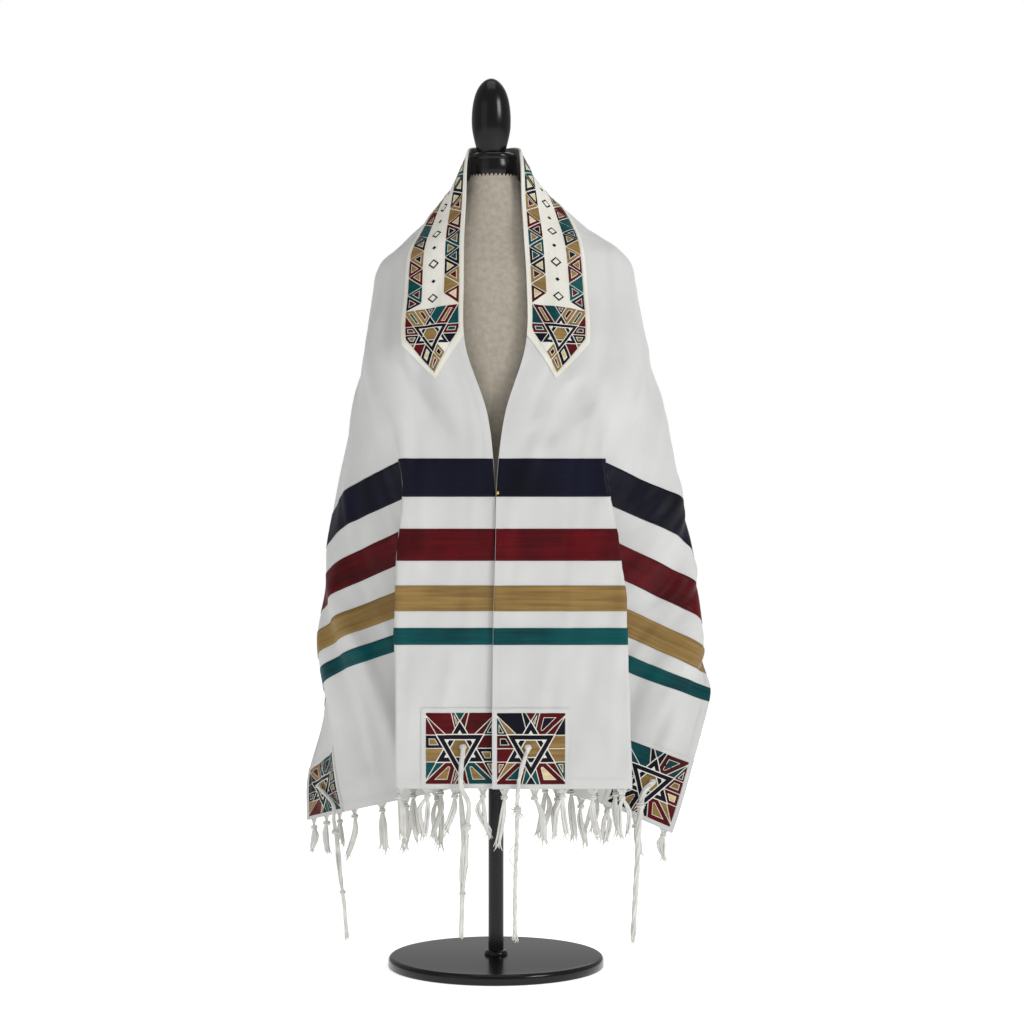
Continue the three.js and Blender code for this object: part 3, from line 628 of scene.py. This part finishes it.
def satinPatches(cells, dice, colours=None, star=None):   # each cell a shard, most with a smaller patch
    shards, lines, insets = [], [], []
    for k, cell in enumerate(cells):
        shard = shrink(cell, patch["line"])
        if not shard or roomIn(shard) < patch["least"]:
            continue
        outer = colours[k] if colours else dice.choices(patchSlots, weights=(4, 4, 3, 3))[0]
        away = math.dist(star[0], np.mean(cell, axis=0)) / star[1] if star else 2
        if away < patch["starTo"]:   # inside the star: light tips round a golden heart
            shards.append((cell, creamSlot if away > patch["heartTo"] else goldSlot))
            continue
        shards.append((shard, outer))
        if roomIn(shard) < patch["leastRoom"] or dice.random() < patch["plainShare"]:
            continue
        line = shrink(shard, roomIn(shard) * patch["innerShare"])
        inset = shrink(line, patch["innerLine"]) if line else []
        if inset:
            lines.append((line, creamSlot))
            others = [one for one in patchSlots + (ivorySlot, goldSlot) if one != outer]
            insets.append((inset, dice.choice(others)))
    whole = bmesh.new()
    high = patch["high"]
    for n, faces in enumerate((shards, lines, insets)):
        low = patch["low"] if n == 0 else high - patch["layer"] / 2
        joinInto(whole, layerOf(faces, low, high))
        high += patch["layer"]
    return whole


def borderOf(outer, inner, slotIndex=creamSlot):   # the faces between two outlines of as many corners
    return [([a, b, d, c], slotIndex) for (a, b), (c, d) in zip(sidesOfOutline(outer), sidesOfOutline(inner))]


def starPatches(centre, radius, band, outline):   # two crossed navy bands, each on its light outline
    whole = bmesh.new()
    high = patch["high"] + patch["starLift"]
    for flip in (0, 60):
        for grow, slotIndex in ((outline, creamSlot), (0, navySlot)):
            outer = starTips(centre, radius + 2 * grow, flip)
            inner = starTips(centre, radius - 2 * band - 2 * grow, flip)
            joinInto(whole, layerOf(borderOf(outer, inner, slotIndex), high - 0.3 * mm, high))
            high += patch["layer"]
    return whole


neckband = dict(width=0.080, tip=0.516, tipOut=0.050, inner=0.571, outer=0.562, binding=0.005, star=0.0245,
                band=3.4 * mm, outline=1.0 * mm, starAt=(0.5745, 0.0420), burstTo=0.612, teeth=11,
                toothDeep=0.0205, leans=(0.66, 0.32), lozenge=(0.0135, 0.0068), lozenges=12, small=0.4,
                bindingHigh=1.9 * mm, meanEnd=0.545)


def bandOutline(inset=0.0):
    half = neckband["width"] / 2
    end = [(neckband["inner"], 0), (neckband["tip"], neckband["tipOut"]), (neckband["outer"], 2 * half)]
    end = [(run + 1.3 * inset, half + (v - half) * (1 - inset / half)) for run, v in end]
    return end + [(cut["far"] - run, v) for run, v in reversed(end)]


def bandPatches():   # the shards of the left half
    edge = neckband["binding"] + 0.4 * mm
    high = neckband["width"] - edge
    start = neckband["burstTo"]
    dice = random.Random(7)
    outline = bandOutline(edge)[:3] + [(start, high), (start, edge)]
    burst = shardsAround(outline, neckband["starAt"], neckband["star"], (30, 90, 150), ((250, 1.3),))
    whole = satinPatches(burst, dice, star=(neckband["starAt"], neckband["star"]))
    step = (cut["half"] - start) / neckband["teeth"]
    order = (burgundySlot, goldSlot, navySlot, tealSlot)
    cells, colours = [], []
    for k in range(neckband["teeth"]):
        for near, inward, lean, shift in zip((edge, high), (1, -1), neckband["leans"], (0, 2)):
            far = near + inward * neckband["toothDeep"]
            low = start + k * step
            cells.append([(low, near), (low + step, near), (low + lean * step, far)])
            colours.append(order[(k + shift) % 4])
            if k < neckband["teeth"] - 1:
                cells.append([(low + lean * step, far), (low + step, near), (low + (1 + lean) * step, far)])
                colours.append(order[(k + shift + 1) % 4])
    joinInto(whole, satinPatches(cells, dice, colours))
    return whole


def bandLozenges():   # a plain running ornament down the middle
    middle = neckband["width"] / 2
    length, wide = neckband["lozenge"]
    first, count = neckband["burstTo"] + 0.014, neckband["lozenges"]
    large, holes = [], []
    for k in range(count):
        run = first + k * (cut["half"] - first - 0.004) / (count - 1)
        size = neckband["small"] if k % 2 else 1
        shape = [(run - length / 2 * size, middle), (run, middle - wide * size),
                 (run + length / 2 * size, middle), (run, middle + wide * size)]
        large.append((shape, navySlot))
        if size == 1:
            holes.append((shrink(shape, 1.7 * mm), creamSlot))
    whole = layerOf(large, patch["low"], patch["high"])
    joinInto(whole, layerOf(holes, patch["high"] - 0.1 * mm, patch["high"] + patch["layer"]))
    return whole


def sewOn(kinds, side="left"):   # the pieces of one patch, each laid on the cloth
    sewn = []
    for name, bm, materials, slotName, nodes in kinds:
        if side == "right":
            mirrorRun(bm)
        layFlat(bm)
        sewn.append(pieceFrom(bm, name, materials, nodes, smooth=False))
    return sewn


def sewNeckband():
    edge = neckband["binding"]
    bound = layerOf(borderOf(bandOutline(), bandOutline(edge)), patch["ground"][0], neckband["bindingHigh"])
    ground = layerOf([(bandOutline(edge + 0.1 * mm), creamSlot)], *patch["ground"])
    star = [neckband[key] for key in ("starAt", "star", "band", "outline")]
    shards = bmesh.new()
    for half in range(2):
        for bm in (bandPatches(), bandLozenges(), starPatches(*star)):
            if half:
                mirrorRun(bm)
            joinInto(shards, bm)
    rows = bmesh.new()
    corners = bandOutline(edge - 1.2 * mm)
    stitchRow(rows, corners + corners[:1], neckband["bindingHigh"] + 0.08 * mm)
    binding, panel, patches, stitches = sewOn((
        ("neckbandBinding", bound, [cream], "binding", ["neckband_binding"]),
        ("neckbandPanel", ground, [cream], "mosaic", ["neckband"]),
        ("neckbandPatches", shards, mosaicSlots, "mosaic", []),
        ("neckbandStitches", rows, [cream], "binding", [])))
    print("neckband sewn")


corner = dict(wide=0.086, high=0.090, border=0.0055, borderHigh=1.6 * mm, star=0.0335, band=5.2 * mm,
              outline=1.4 * mm, rays=(14, 46, 90, 134, 166))
eyelet = dict(inward=0.045, up=0.052, hole=2.3 * mm, ring=4.3 * mm, thick=0.7 * mm, lift=2.5 * mm, threads=22)


def rectangle(centre, long, wide):
    ways = ((-0.5, -0.5), (0.5, -0.5), (0.5, 0.5), (-0.5, 0.5))
    return [(centre[0] + a * long, centre[1] + b * wide) for a, b in ways]


def eyeletStitches(run, v):   # threads sewn radially round the hole
    bm = bmesh.new()
    middle = (eyelet["hole"] + eyelet["ring"]) / 2
    for k in range(eyelet["threads"]):
        turn = Matrix.Rotation(2 * math.pi * k / eyelet["threads"], 4, "Z")
        size = Matrix.Diagonal((eyelet["ring"] - eyelet["hole"], 0.75 * mm, eyelet["thick"], 1))
        place = Matrix.Translation((run, v, eyelet["lift"])) @ turn @ Matrix.Translation((middle, 0, 0))
        bmesh.ops.create_cube(bm, size=1, matrix=place @ size)
    return bm


def sewCorners():
    border, wide, high = corner["border"], corner["wide"], corner["high"]
    cells = [(side, place) for side in ("left", "right") for place in ("inner", "outer")]
    for number, (side, place) in enumerate(cells):
        v = border + wide / 2 if place == "inner" else cut["width"] - border - wide / 2
        hole = (eyelet["up"], eyelet["inward"] if place == "inner" else cut["width"] - eyelet["inward"])
        centre = (border + high / 2, v)
        square = rectangle(centre, high, wide)
        burst = shardsAround(square, centre, corner["star"], corner["rays"], ())
        shards = satinPatches(burst, random.Random(30 + number), star=(centre, corner["star"]))
        joinInto(shards, starPatches(centre, corner["star"], corner["band"], corner["outline"]))
        rows = bmesh.new()
        loop = rectangle(centre, high + 1.5 * border, wide + 1.5 * border)
        stitchRow(rows, loop + loop[:1], corner["borderHigh"] + 0.07 * mm)
        edge = borderOf(rectangle(centre, high + 2 * border, wide + 2 * border), square)
        binding = layerOf(edge, patch["ground"][0], corner["borderHigh"])
        name, node = f"{side.title()}{place.title()}", f"{side}_{place}"
        sewn = sewOn((
            ("cornerSquare" + name, layerOf([(square, creamSlot)], *patch["ground"]), [cream], "mosaic",
             ["corner_square_" + node]),
            ("cornerPatches" + name, shards, mosaicSlots, "mosaic", []),
            ("cornerBorder" + name, binding, [white], "binding", ["corner_border_" + node]),
            ("cornerStitches" + name, rows, [white], "binding", []),
            ("eyelet" + name, eyeletStitches(*hole), [cotton], "cord", ["eyelet_" + node])), side)
    print("corners sewn")


sewNeckband()
sewCorners()


# Hems: the cloth turned over and stitched down along its free edges.
hem = dict(wide=0.010, end=0.013, low=0.5 * mm, high=0.85 * mm, edge=0.3 * mm)


def sewHems(side):
    stops = [hem["end"]] + [end for stripe in reversed(stripes) for end in (stripe["start"], stripe["stop"])]
    lengths = list(zip(stops[0::2], stops[1::2] + [neckband["inner"] - 0.004]))
    bm = bmesh.new()
    rows = bmesh.new()
    edge, wide, across = hem["edge"], hem["wide"], cut["width"]
    turned = [(a, b, v, v + wide) for a, b in lengths for v in (edge, across - wide - edge)]
    turned.append((edge, hem["end"], edge, across - edge))
    for a, b, low, high in turned:
        outline = [(a, low), (b, low), (b, high), (a, high)]
        joinInto(bm, layerOf([(outline, creamSlot)], hem["low"], hem["high"]))
    for a, b in lengths:
        for v in (wide - 1.6 * mm, across - wide + 1.6 * mm):
            stitchRow(rows, [(a, v), (b, v)], hem["high"])
    stitchRow(rows, [(hem["end"] - 2 * mm, 0.1), (hem["end"] - 2 * mm, 0.4)], hem["high"])
    joinInto(bm, rows)
    if side == "right":
        mirrorRun(bm)
    layFlat(bm)
    return pieceFrom(bm, f"hems{side.title()}", [white], smooth=False)


# Threads, cords and tassels.
def lineThrough(points, spacing):   # a smooth line through places, in even steps
    points = np.array(points, float)
    slopes = np.gradient(points, axis=0)
    fine = []
    for k in range(len(points) - 1):
        t = np.linspace(0, 1, 24, endpoint=False)[:, None]
        fine.append(hermite(t, points[k], points[k + 1], slopes[k], slopes[k + 1]))
    fine = np.concatenate(fine + [points[-1:]])
    walked = np.concatenate([[0], np.cumsum(np.linalg.norm(np.diff(fine, axis=0), axis=1))])
    at = np.linspace(0, walked[-1], max(2, round(walked[-1] / spacing) + 1))
    return np.stack([np.interp(at, walked, fine[:, axis]) for axis in range(3)], axis=1)


def sidesOf(line):   # two directions square to a line, at each of its places
    ways = np.gradient(line, axis=0)
    ways /= np.linalg.norm(ways, axis=1)[:, None]
    side = np.cross(ways[0], (0.0, 1.0, 0.05))
    first, second = [], []
    for way in ways:
        side = side - way * (side @ way)
        side /= np.linalg.norm(side)
        first.append(side)
        second.append(np.cross(way, side))
    return np.array(first), np.array(second)


def skinRings(bm, rings):   # a closed skin over rings of corners
    for near, far in zip(rings, rings[1:]):
        for k in range(len(near)):
            bm.faces.new((near[k - 1], near[k], far[k], far[k - 1]))
    bm.faces.new(rings[0])
    bm.faces.new(rings[-1][::-1])


def addTube(bm, line, radii, sides=5):   # a closed round thread along a line
    across, outward = sidesOf(line)
    radii = np.broadcast_to(radii, len(line))
    turns = 2 * math.pi * np.arange(sides) / sides
    rings = [[bm.verts.new(place + radius * (math.cos(turn) * a + math.sin(turn) * b)) for turn in turns]
             for place, radius, a, b in zip(line, radii, across, outward)]
    skinRings(bm, rings)


def addKnot(bm, place, radius, tall, turns=3):   # a few wraps of thread round a cord
    core = Matrix.Translation(place) @ Matrix.Diagonal((radius * 0.9, radius * 0.9, tall / 2, 1))
    bmesh.ops.create_uvsphere(bm, u_segments=10, v_segments=7, radius=1, matrix=core)
    share = np.linspace(0, 1, 12 * turns)
    angle = 2 * math.pi * turns * share
    wide = radius * (0.75 + 0.25 * np.sin(math.pi * share))
    wrap = np.stack([np.cos(angle) * wide, np.sin(angle) * wide, (share - 0.5) * tall * 0.8], axis=1)
    addTube(bm, wrap + np.array(place), radius * 0.26)


def threadPiece(bm, name, nodes=()):
    bmesh.ops.recalc_face_normals(bm, faces=bm.faces)
    return pieceFrom(bm, name, [cotton], nodes)


# Routes and thicknesses are in mm, and places along a cord are shares of its length. open is where strands
# part (from, to, how far), a knot is (where, radius, height, wraps), and a loose thread is (thickness,
# spacing of its rings, sides, then its places, each a share and how far off the cord it lies).
cordSettings = dict(diameter=7 * mm, step=2.2 * mm, fray=0.014, proud=5.0 * mm)
cords = [
    dict(name="RightInner", node="tzitzit_right_inner", strands=5, thick=1.25, turns=9, wobble=0.35,
         open=(0.0, 0.0, 0.0), fray=2.6, knots=[(0.33, 4.6, 9, 3)],
         spurs=[(-9, -1, 3), (-8, 0, -5), (8, -1, -6), (9, -1, -9), (6, 1, -12)],
         loose=[(0.6, 2, 6, [(0.5, (0, 0, 0)), (0.5, (-8, -1, -9)), (0.5, (-9, -1, -19)),
                             (0.5, (-2, 0, -32))])],
         route=[(40.5, -130.5, 291), (33, -131, 270), (28.5, -131, 245), (27.5, -130, 215), (27, -129, 190),
                (25.5, -129, 150), (24.5, -129, 100), (24.5, -129, 53)]),
    dict(name="LeftInner", node="tzitzit_left_inner", strands=4, thick=1.5, turns=0, wobble=0.08,
         open=(0.43, 0.76, 2.7), fray=0.6, knots=[(0.42, 4.8, 8, 3), (0.77, 3.8, 5, 2)], spurs=[],
         loose=[(0.45, 2.5, 5, [(0.43, (0, 0, 0)), (0.5, (drift, 0, 0)), (0.6, (1.1 * drift, 0, 0)),
                                (0.7, (0, 0, 0))]) for drift in (3.0, 5.5)],
         route=[(-41, -126.5, 292), (-42.5, -128, 270), (-42.5, -128, 246), (-33, -128, 224),
                (-36, -128, 190), (-39, -128, 150), (-41, -128, 112), (-42.5, -128, 56)]),
    dict(name="RightOuter", node="tzitzit_right_outer", strands=4, thick=1.75, turns=2.2, wobble=0.1,
         open=(0.0, 0.0, 0.0), fray=0.2, knots=[(0.2, 5.0, 9, 2)], spurs=[], loose=[],
         route=[(190, -66, 249), (187, -70, 230), (183, -72, 200), (181, -73, 175), (180, -74, 147),
                (178, -74, 111), (176, -74, 75), (174, -74, 42)]),
    dict(name="LeftOuter", node="tzitzit_left_outer", strands=5, thick=1.15, turns=1.5, wobble=0.2,
         open=(0.42, 0.72, 2.4), fray=1.6, knots=[(0.4, 4.4, 6, 3), (0.74, 3.6, 5, 2)], spurs=[], loose=[],
         route=[(-213, -3, 230), (-212, -12, 212), (-209, -20, 190), (-206, -25, 168), (-202, -29, 140),
                (-198, -30, 105), (-194, -30, 70), (-192, -30, 38)]),
]


def eyeletPlace(name):   # just in front of the hole that the cord comes out of
    run = eyelet["up"] if name.startswith("Left") else cut["far"] - eyelet["up"]
    v = eyelet["inward"] if name.endswith("Inner") else cut["width"] - eyelet["inward"]
    return onCloth(run, v, cordSettings["proud"])[0]


def hangCord(cord):
    dice = random.Random(cord["name"])
    route = np.array(cord["route"]) * mm
    route[0] = eyeletPlace(cord["name"])
    line = lineThrough(route, cordSettings["step"])
    length = np.linalg.norm(np.diff(line, axis=0), axis=1).sum()
    share = np.linspace(0, 1, len(line))
    across, outward = sidesOf(line)
    low, high, far = cord["open"]
    opening = np.sin(math.pi * (share - low) / max(high - low, 0.01))
    parted = np.where((share > low) & (share < high), opening, 0)
    frayed = smoothStep(1 - cordSettings["fray"] / length, 1, share)
    bm = bmesh.new()
    for k in range(cord["strands"]):
        angle = 2 * math.pi * (k / cord["strands"] + cord["turns"] * share) + 0.4
        wave = 1 + cord["wobble"] * np.sin(2 * math.pi * (7 * share + dice.random()))
        reach = cord["thick"] * 1.15 * wave + frayed * cord["fray"] * (0.5 + 0.5 * dice.random())
        apart = parted * far * (1 if k % 2 else -1)
        strand = line + across * ((np.cos(angle) * reach + apart) * mm)[:, None]
        strand += outward * (np.sin(angle) * reach * mm)[:, None]
        drop = 4 * mm * dice.random()
        strand = strand[:len(strand) - int(drop / cordSettings["step"])]
        radii = cord["thick"] * mm * (1 - 0.45 * frayed[:len(strand)])
        addTube(bm, strand, radii, 8)
    piece = threadPiece(bm, f"tzitzit{cord['name']}", [cord["node"]])
    return piece, line, length


def tieKnots(cord, line):   # the knot at the eyelet, and the cord's own knots and loose threads
    bm = bmesh.new()
    at = lambda share: line[int(share * (len(line) - 1))]
    addKnot(bm, line[0] + (0, -1.5 * mm, 1.2 * mm), 3.6 * mm, 5 * mm, 2)
    for where, radius, tall, turns in cord["knots"]:
        addKnot(bm, at(where), radius * mm, tall * mm, turns)
    for reach in cord["spurs"]:   # short ends that stick out of the first knot
        knot, reach = at(cord["knots"][0][0]), np.array(reach) * mm
        sagging = knot + reach * 0.6 + (0, 0, -1.5 * mm)
        addTube(bm, lineThrough([knot, sagging, knot + reach], 2 * mm), 0.7 * mm)
    for thick, spacing, sides, places in cord["loose"]:
        points = [at(share) + np.array(off) * mm for share, off in places]
        addTube(bm, lineThrough(points, spacing * mm), thick * mm, sides)
    return threadPiece(bm, f"tzitzitKnots{cord['name']}")


def hangCords():
    for cord in cords:
        piece, line, length = hangCord(cord)
        tieKnots(cord, line)
        print("cord", cord["name"], round(length, 3))


hangCords()


# aside to splay say how far a tassel's place, lean and threads vary, in mm but for the lean.
fringe = dict(count=14, inset=0.016, knot=0.010, drop=0.080, cornerFrom=0.40, cornerShort=0.62, gathers=6,
              aside=4, lean=0.08, bow=5, hook=6, depth=2, splay=(5.5, 2.5),
              radii=(1.6 * mm, 1.65 * mm, 0.4 * mm))
tassels = withColumns(("bundles", "threads", "lean"), (   # one after another along the hem
    (2, 4, -0.05), (1, 7, 0.12), (2, 4, 0.1), (1, 9, 0.0), (2, 5, 0.05), (1, 6, -0.1), (1, 7, 0.16),
    (2, 4, -0.12), (1, 8, 0.08),
))


def addTassel(bm, run, v, inward, style, dice):
    top = onCloth(run, v, 0.0)[0]
    sideways = onCloth(run, v + 0.004, 0)[0] - onCloth(run, v - 0.004, 0)[0]
    sideways[2] = 0
    sideways /= np.linalg.norm(sideways)
    front = np.cross(sideways, (0, 0, 1))
    down = np.array((0, 0, -1.0))
    loose = lambda reach: dice.uniform(-reach, reach) * mm
    knotDown = fringe["knot"] * (0.75 + 0.5 * dice.random())
    knot = top + down * knotDown
    for k in range(fringe["gathers"]):   # drawn together from the hem
        aside = k - (fringe["gathers"] - 1) / 2
        start = onCloth(run + inward * 2 * mm, v + aside * 2.7 * mm, 0)[0]
        middle = start * 0.45 + knot * 0.55 + front * (0.4 * mm * (k % 3 - 1))
        addTube(bm, lineThrough([start, middle, knot + sideways * aside * 0.5 * mm], 4 * mm), 0.9 * mm)
    addKnot(bm, knot, 3.4 * mm + 0.12 * mm * style["threads"], 6 * mm, 2)
    length = fringe["drop"] * (0.84 + 0.2 * dice.random()) - knotDown
    if v > fringe["cornerFrom"]:
        length *= fringe["cornerShort"]
    for bundle in range(style["bundles"]):
        apart = (bundle - (style["bundles"] - 1) / 2) * 2
        lean = style["lean"] + dice.uniform(-fringe["lean"], fringe["lean"])
        bow = loose(fringe["bow"]) + apart * 4.5 * mm
        hook = loose(fringe["hook"]) + apart * 3 * mm
        bundleLong = length * dice.uniform(0.84, 1.0)
        depth = loose(fringe["depth"])
        for thread in range(style["threads"]):
            angle = 2 * math.pi * thread / style["threads"] + dice.random()
            spread = (1.0 + 0.26 * style["threads"]) * mm
            offset = sideways * math.cos(angle) * spread + front * math.sin(angle) * spread * 0.7
            splay = sideways * loose(fringe["splay"][0]) + front * loose(fringe["splay"][1])
            far = bundleLong * dice.uniform(0.86, 1.0)
            at = lambda share, side: (knot + down * far * share + sideways * (lean * far * share + side)
                                      + offset * min(1, share * 4) + front * depth * share)
            middle, tip = at(0.62, bow * 0.6 + hook * 0.5), at(1, hook) + splay
            line = lineThrough([at(0, 0), at(0.3, bow), middle, at(0.84, hook), tip], 6.5 * mm)
            addTube(bm, line, np.interp(np.linspace(0, 1, len(line)), (0, 0.75, 1), fringe["radii"]))


def tieFringe(side):
    bm = bmesh.new()
    dice = random.Random(side)
    run, inward, first = (0.0, 1, 0) if side == "left" else (cut["far"], -1, 5)
    for k in range(fringe["count"]):
        v = fringe["inset"] + (cut["width"] - 2 * fringe["inset"]) * k / (fringe["count"] - 1)
        v += dice.uniform(-fringe["aside"], fringe["aside"]) * mm
        addTassel(bm, run, v, inward, tassels[(k + first) % len(tassels)], dice)
    piece = threadPiece(bm, f"fringe{side.title()}", [f"fringe_{side}"])
    print("fringe", side)
    return piece


def finishShawl():
    for side in ("left", "right"):
        sewHems(side)
        tieFringe(side)


# The dress form and its stand.
torsoRows = [   # height, half width, half depth and middle, in mm
    (490.5, 60, 45, 0), (491, 98, 75, 0), (496, 103.5, 79.5, 0), (530, 100, 76, 0), (580, 98, 74, 0),
    (640, 106, 82, 0), (700, 118, 92, 0), (750, 127, 98, 0), (800, 133, 97, 0), (850, 138, 88, 0),
    (890, 140, 80, 0), (915, 127, 70, 0), (940, 98, 58, -1), (960, 74, 51, -3), (985, 52, 42, -7),
    (1004, 39, 36, -10), (1016, 34.5, 33.5, -12), (1019, 31.2, 31.2, -12),
]
form = dict(sides=144, rowStep=6, seams=(0, 90, 180, 270), seamDeep=0.011, seamWide=0.028,
            pinkedHigh=3.5 * mm, neckAside=-3, neckFrom=985, neckTo=1016, roundSides=72)


def coverTorso():
    line = lineThrough([(width, depth, z) for z, width, depth, _ in torsoRows], form["rowStep"])
    middles = np.interp(line[:, 2], [row[0] for row in torsoRows], [row[3] for row in torsoRows])
    bm = bmesh.new()
    turns = 2 * math.pi * np.arange(form["sides"]) / form["sides"]
    groove = np.ones(form["sides"])
    for seam in np.radians(form["seams"]):
        away = np.abs((turns - seam + math.pi) % (2 * math.pi) - math.pi)
        groove -= form["seamDeep"] * np.exp(-(away / form["seamWide"]) ** 2)
    rings = []
    for (width, depth, z), y in zip(line, middles):
        x = form["neckAside"] * smoothStep(form["neckFrom"], form["neckTo"], z)
        xs, ys = x + width * np.cos(turns) * groove, y + depth * np.sin(turns) * groove
        rings.append([bm.verts.new((a * mm, b * mm, z * mm)) for a, b in zip(xs, ys)])
    zigzag = [Vector((0, 0, form["pinkedHigh"] * (0.3 + k // 2 % 2))) for k in range(form["sides"])]
    rings.append([bm.verts.new(vert.co + up) for vert, up in zip(rings[-1], zigzag)])   # the pinked edge
    skinRings(bm, rings)
    bmesh.ops.recalc_face_normals(bm, faces=bm.faces)
    pieceFrom(bm, "formTorso", [linenCloth], ["form_torso"])
    print("torso covered")


def turnedPiece(name, node, profile, place):   # a profile of (radius, height) in mm, turned round its axis
    bm = bmesh.new()
    verts = [bm.verts.new((radius * mm, 0, up * mm)) for radius, up in profile]
    edges = [bm.edges.new(pair) for pair in zip(verts, verts[1:])]
    bmesh.ops.spin(bm, geom=verts + edges, cent=(0, 0, 0), axis=(0, 0, 1), angle=2 * math.pi,
                   steps=form["roundSides"], use_duplicate=False)
    bmesh.ops.remove_doubles(bm, verts=bm.verts, dist=1e-6)
    bmesh.ops.recalc_face_normals(bm, faces=bm.faces)
    bmesh.ops.translate(bm, verts=bm.verts, vec=np.array(place) * mm)
    piece = pieceFrom(bm, name, [blackGloss], [node])
    piece.data.set_sharp_from_angle(angle=math.radians(50))


def roundedDisc(radius, low, high, rim):   # a profile with a rounded upper edge
    steps = [math.radians(15 * k) for k in range(7)]
    bow = [(radius - rim + rim * math.cos(turn), high - rim + rim * math.sin(turn)) for turn in steps]
    return [(0, low), (radius - 1, low), (radius, low + 1)] + bow + [(0, high)]


def buildStand():
    turnedPiece("formBase", "form_base", roundedDisc(140, 0, 14, 6), (0, 0, 0))
    pole = [(0, 14.3), (15, 14.3), (15, 17), (13.5, 19.5), (10, 20.5), (10, 474), (11.5, 475), (11.5, 476.7),
            (0, 476.7)]
    turnedPiece("formPole", "form_pole", pole, (0, 0, 0))
    turnedPiece("formFlange", "form_flange", roundedDisc(38, 477.3, 488.3, 3), (0, 0, 0))
    block = [(0, 1019), (29, 1019), (30, 1020), (30, 1040), (29.2, 1042), (29.2, 1043.5), (30, 1045),
             (30, 1048), (29, 1050.5), (26, 1052), (0, 1052)]
    turnedPiece("formNeckBlock", "form_neck_block", block, (-3, -12, 0))
    oval = lineThrough([(17.5, 0, 0.4), (18, 0, 3), (19.5, 0, 8), (22.5, 0, 20), (24.8, 0, 32),
                        (25.5, 0, 44), (24.8, 0, 58), (22.4, 0, 72), (18, 0, 84), (11.5, 0, 93),
                        (5, 0, 97.5), (0, 0, 98.6)], 3)
    turnedPiece("formFinial", "form_finial", [(0, 0.4)] + [(r, up) for r, _, up in oval[:-1]] + [(0, 98.6)],
                (-6, -12, 1052))
    print("stand built")


coverTorso()
buildStand()
finishShawl()


pin = dict(at=(3, -129.4, 613), radius=2.2 * mm)


def pushPin():   # the brass pin that holds the fronts together
    bm = bmesh.new()
    place = Matrix.Translation(Vector(pin["at"]) * mm)
    bmesh.ops.create_uvsphere(bm, u_segments=24, v_segments=14, radius=pin["radius"], matrix=place)
    pieceFrom(bm, "frontPin", [brass], ["front_pin"])


pushPin()


room = dict(floor=8.0, glow=0.66, sky=0.38, aim=(0, 0, 0.6))
lamps = withColumns(("name", "at", "size", "power"), (
    ("key", (3.0, -2.6, 2.6), 1.3, 66),
    ("fill", (-2.8, -3.0, 1.8), 2.6, 9),
    ("back", (0.4, 3.0, 2.6), 2.4, 20),
    ("top", (0.0, -0.4, 3.6), 2.0, 16),
))


def buildRoom():
    bm = bmesh.new()
    bmesh.ops.create_grid(bm, x_segments=1, y_segments=1, size=room["floor"])
    bmesh.ops.translate(bm, verts=bm.verts, vec=(0, 0, -0.0005))
    pale = Shader("paleFloor", {"Base Color": shade(252, 252, 252), "Roughness": 0.9,
                                "Emission Color": (1, 1, 1, 1), "Emission Strength": room["glow"]})
    addObject("floor", meshFrom(bm, "floor", [pale.material]))
    for lamp in lamps:
        light = bpy.data.lights.new(lamp["name"], "AREA")
        light.size = lamp["size"]
        light.energy = lamp["power"]
        holder = addObject(lamp["name"], light)
        holder.location = lamp["at"]
        way = Vector(room["aim"]) - Vector(lamp["at"])
        holder.rotation_euler = way.to_track_quat("-Z", "Y").to_euler()
    world = bpy.data.worlds.new("world")
    world.use_nodes = True
    sky = world.node_tree.nodes["Background"]
    sky.inputs["Color"].default_value = (1, 1, 1, 1)
    seen = world.node_tree.nodes.new("ShaderNodeMapRange")   # the wall reads white and lights softly
    rays = world.node_tree.nodes.new("ShaderNodeLightPath")
    world.node_tree.links.new(rays.outputs["Is Camera Ray"], seen.inputs["Value"])
    seen.inputs["To Min"].default_value = room["sky"]
    seen.inputs["To Max"].default_value = 1.0
    world.node_tree.links.new(seen.outputs["Result"], sky.inputs["Strength"])
    bpy.context.scene.world = world
    bpy.context.scene.view_settings.view_transform = "Standard"
    print("room ready")


buildRoom()
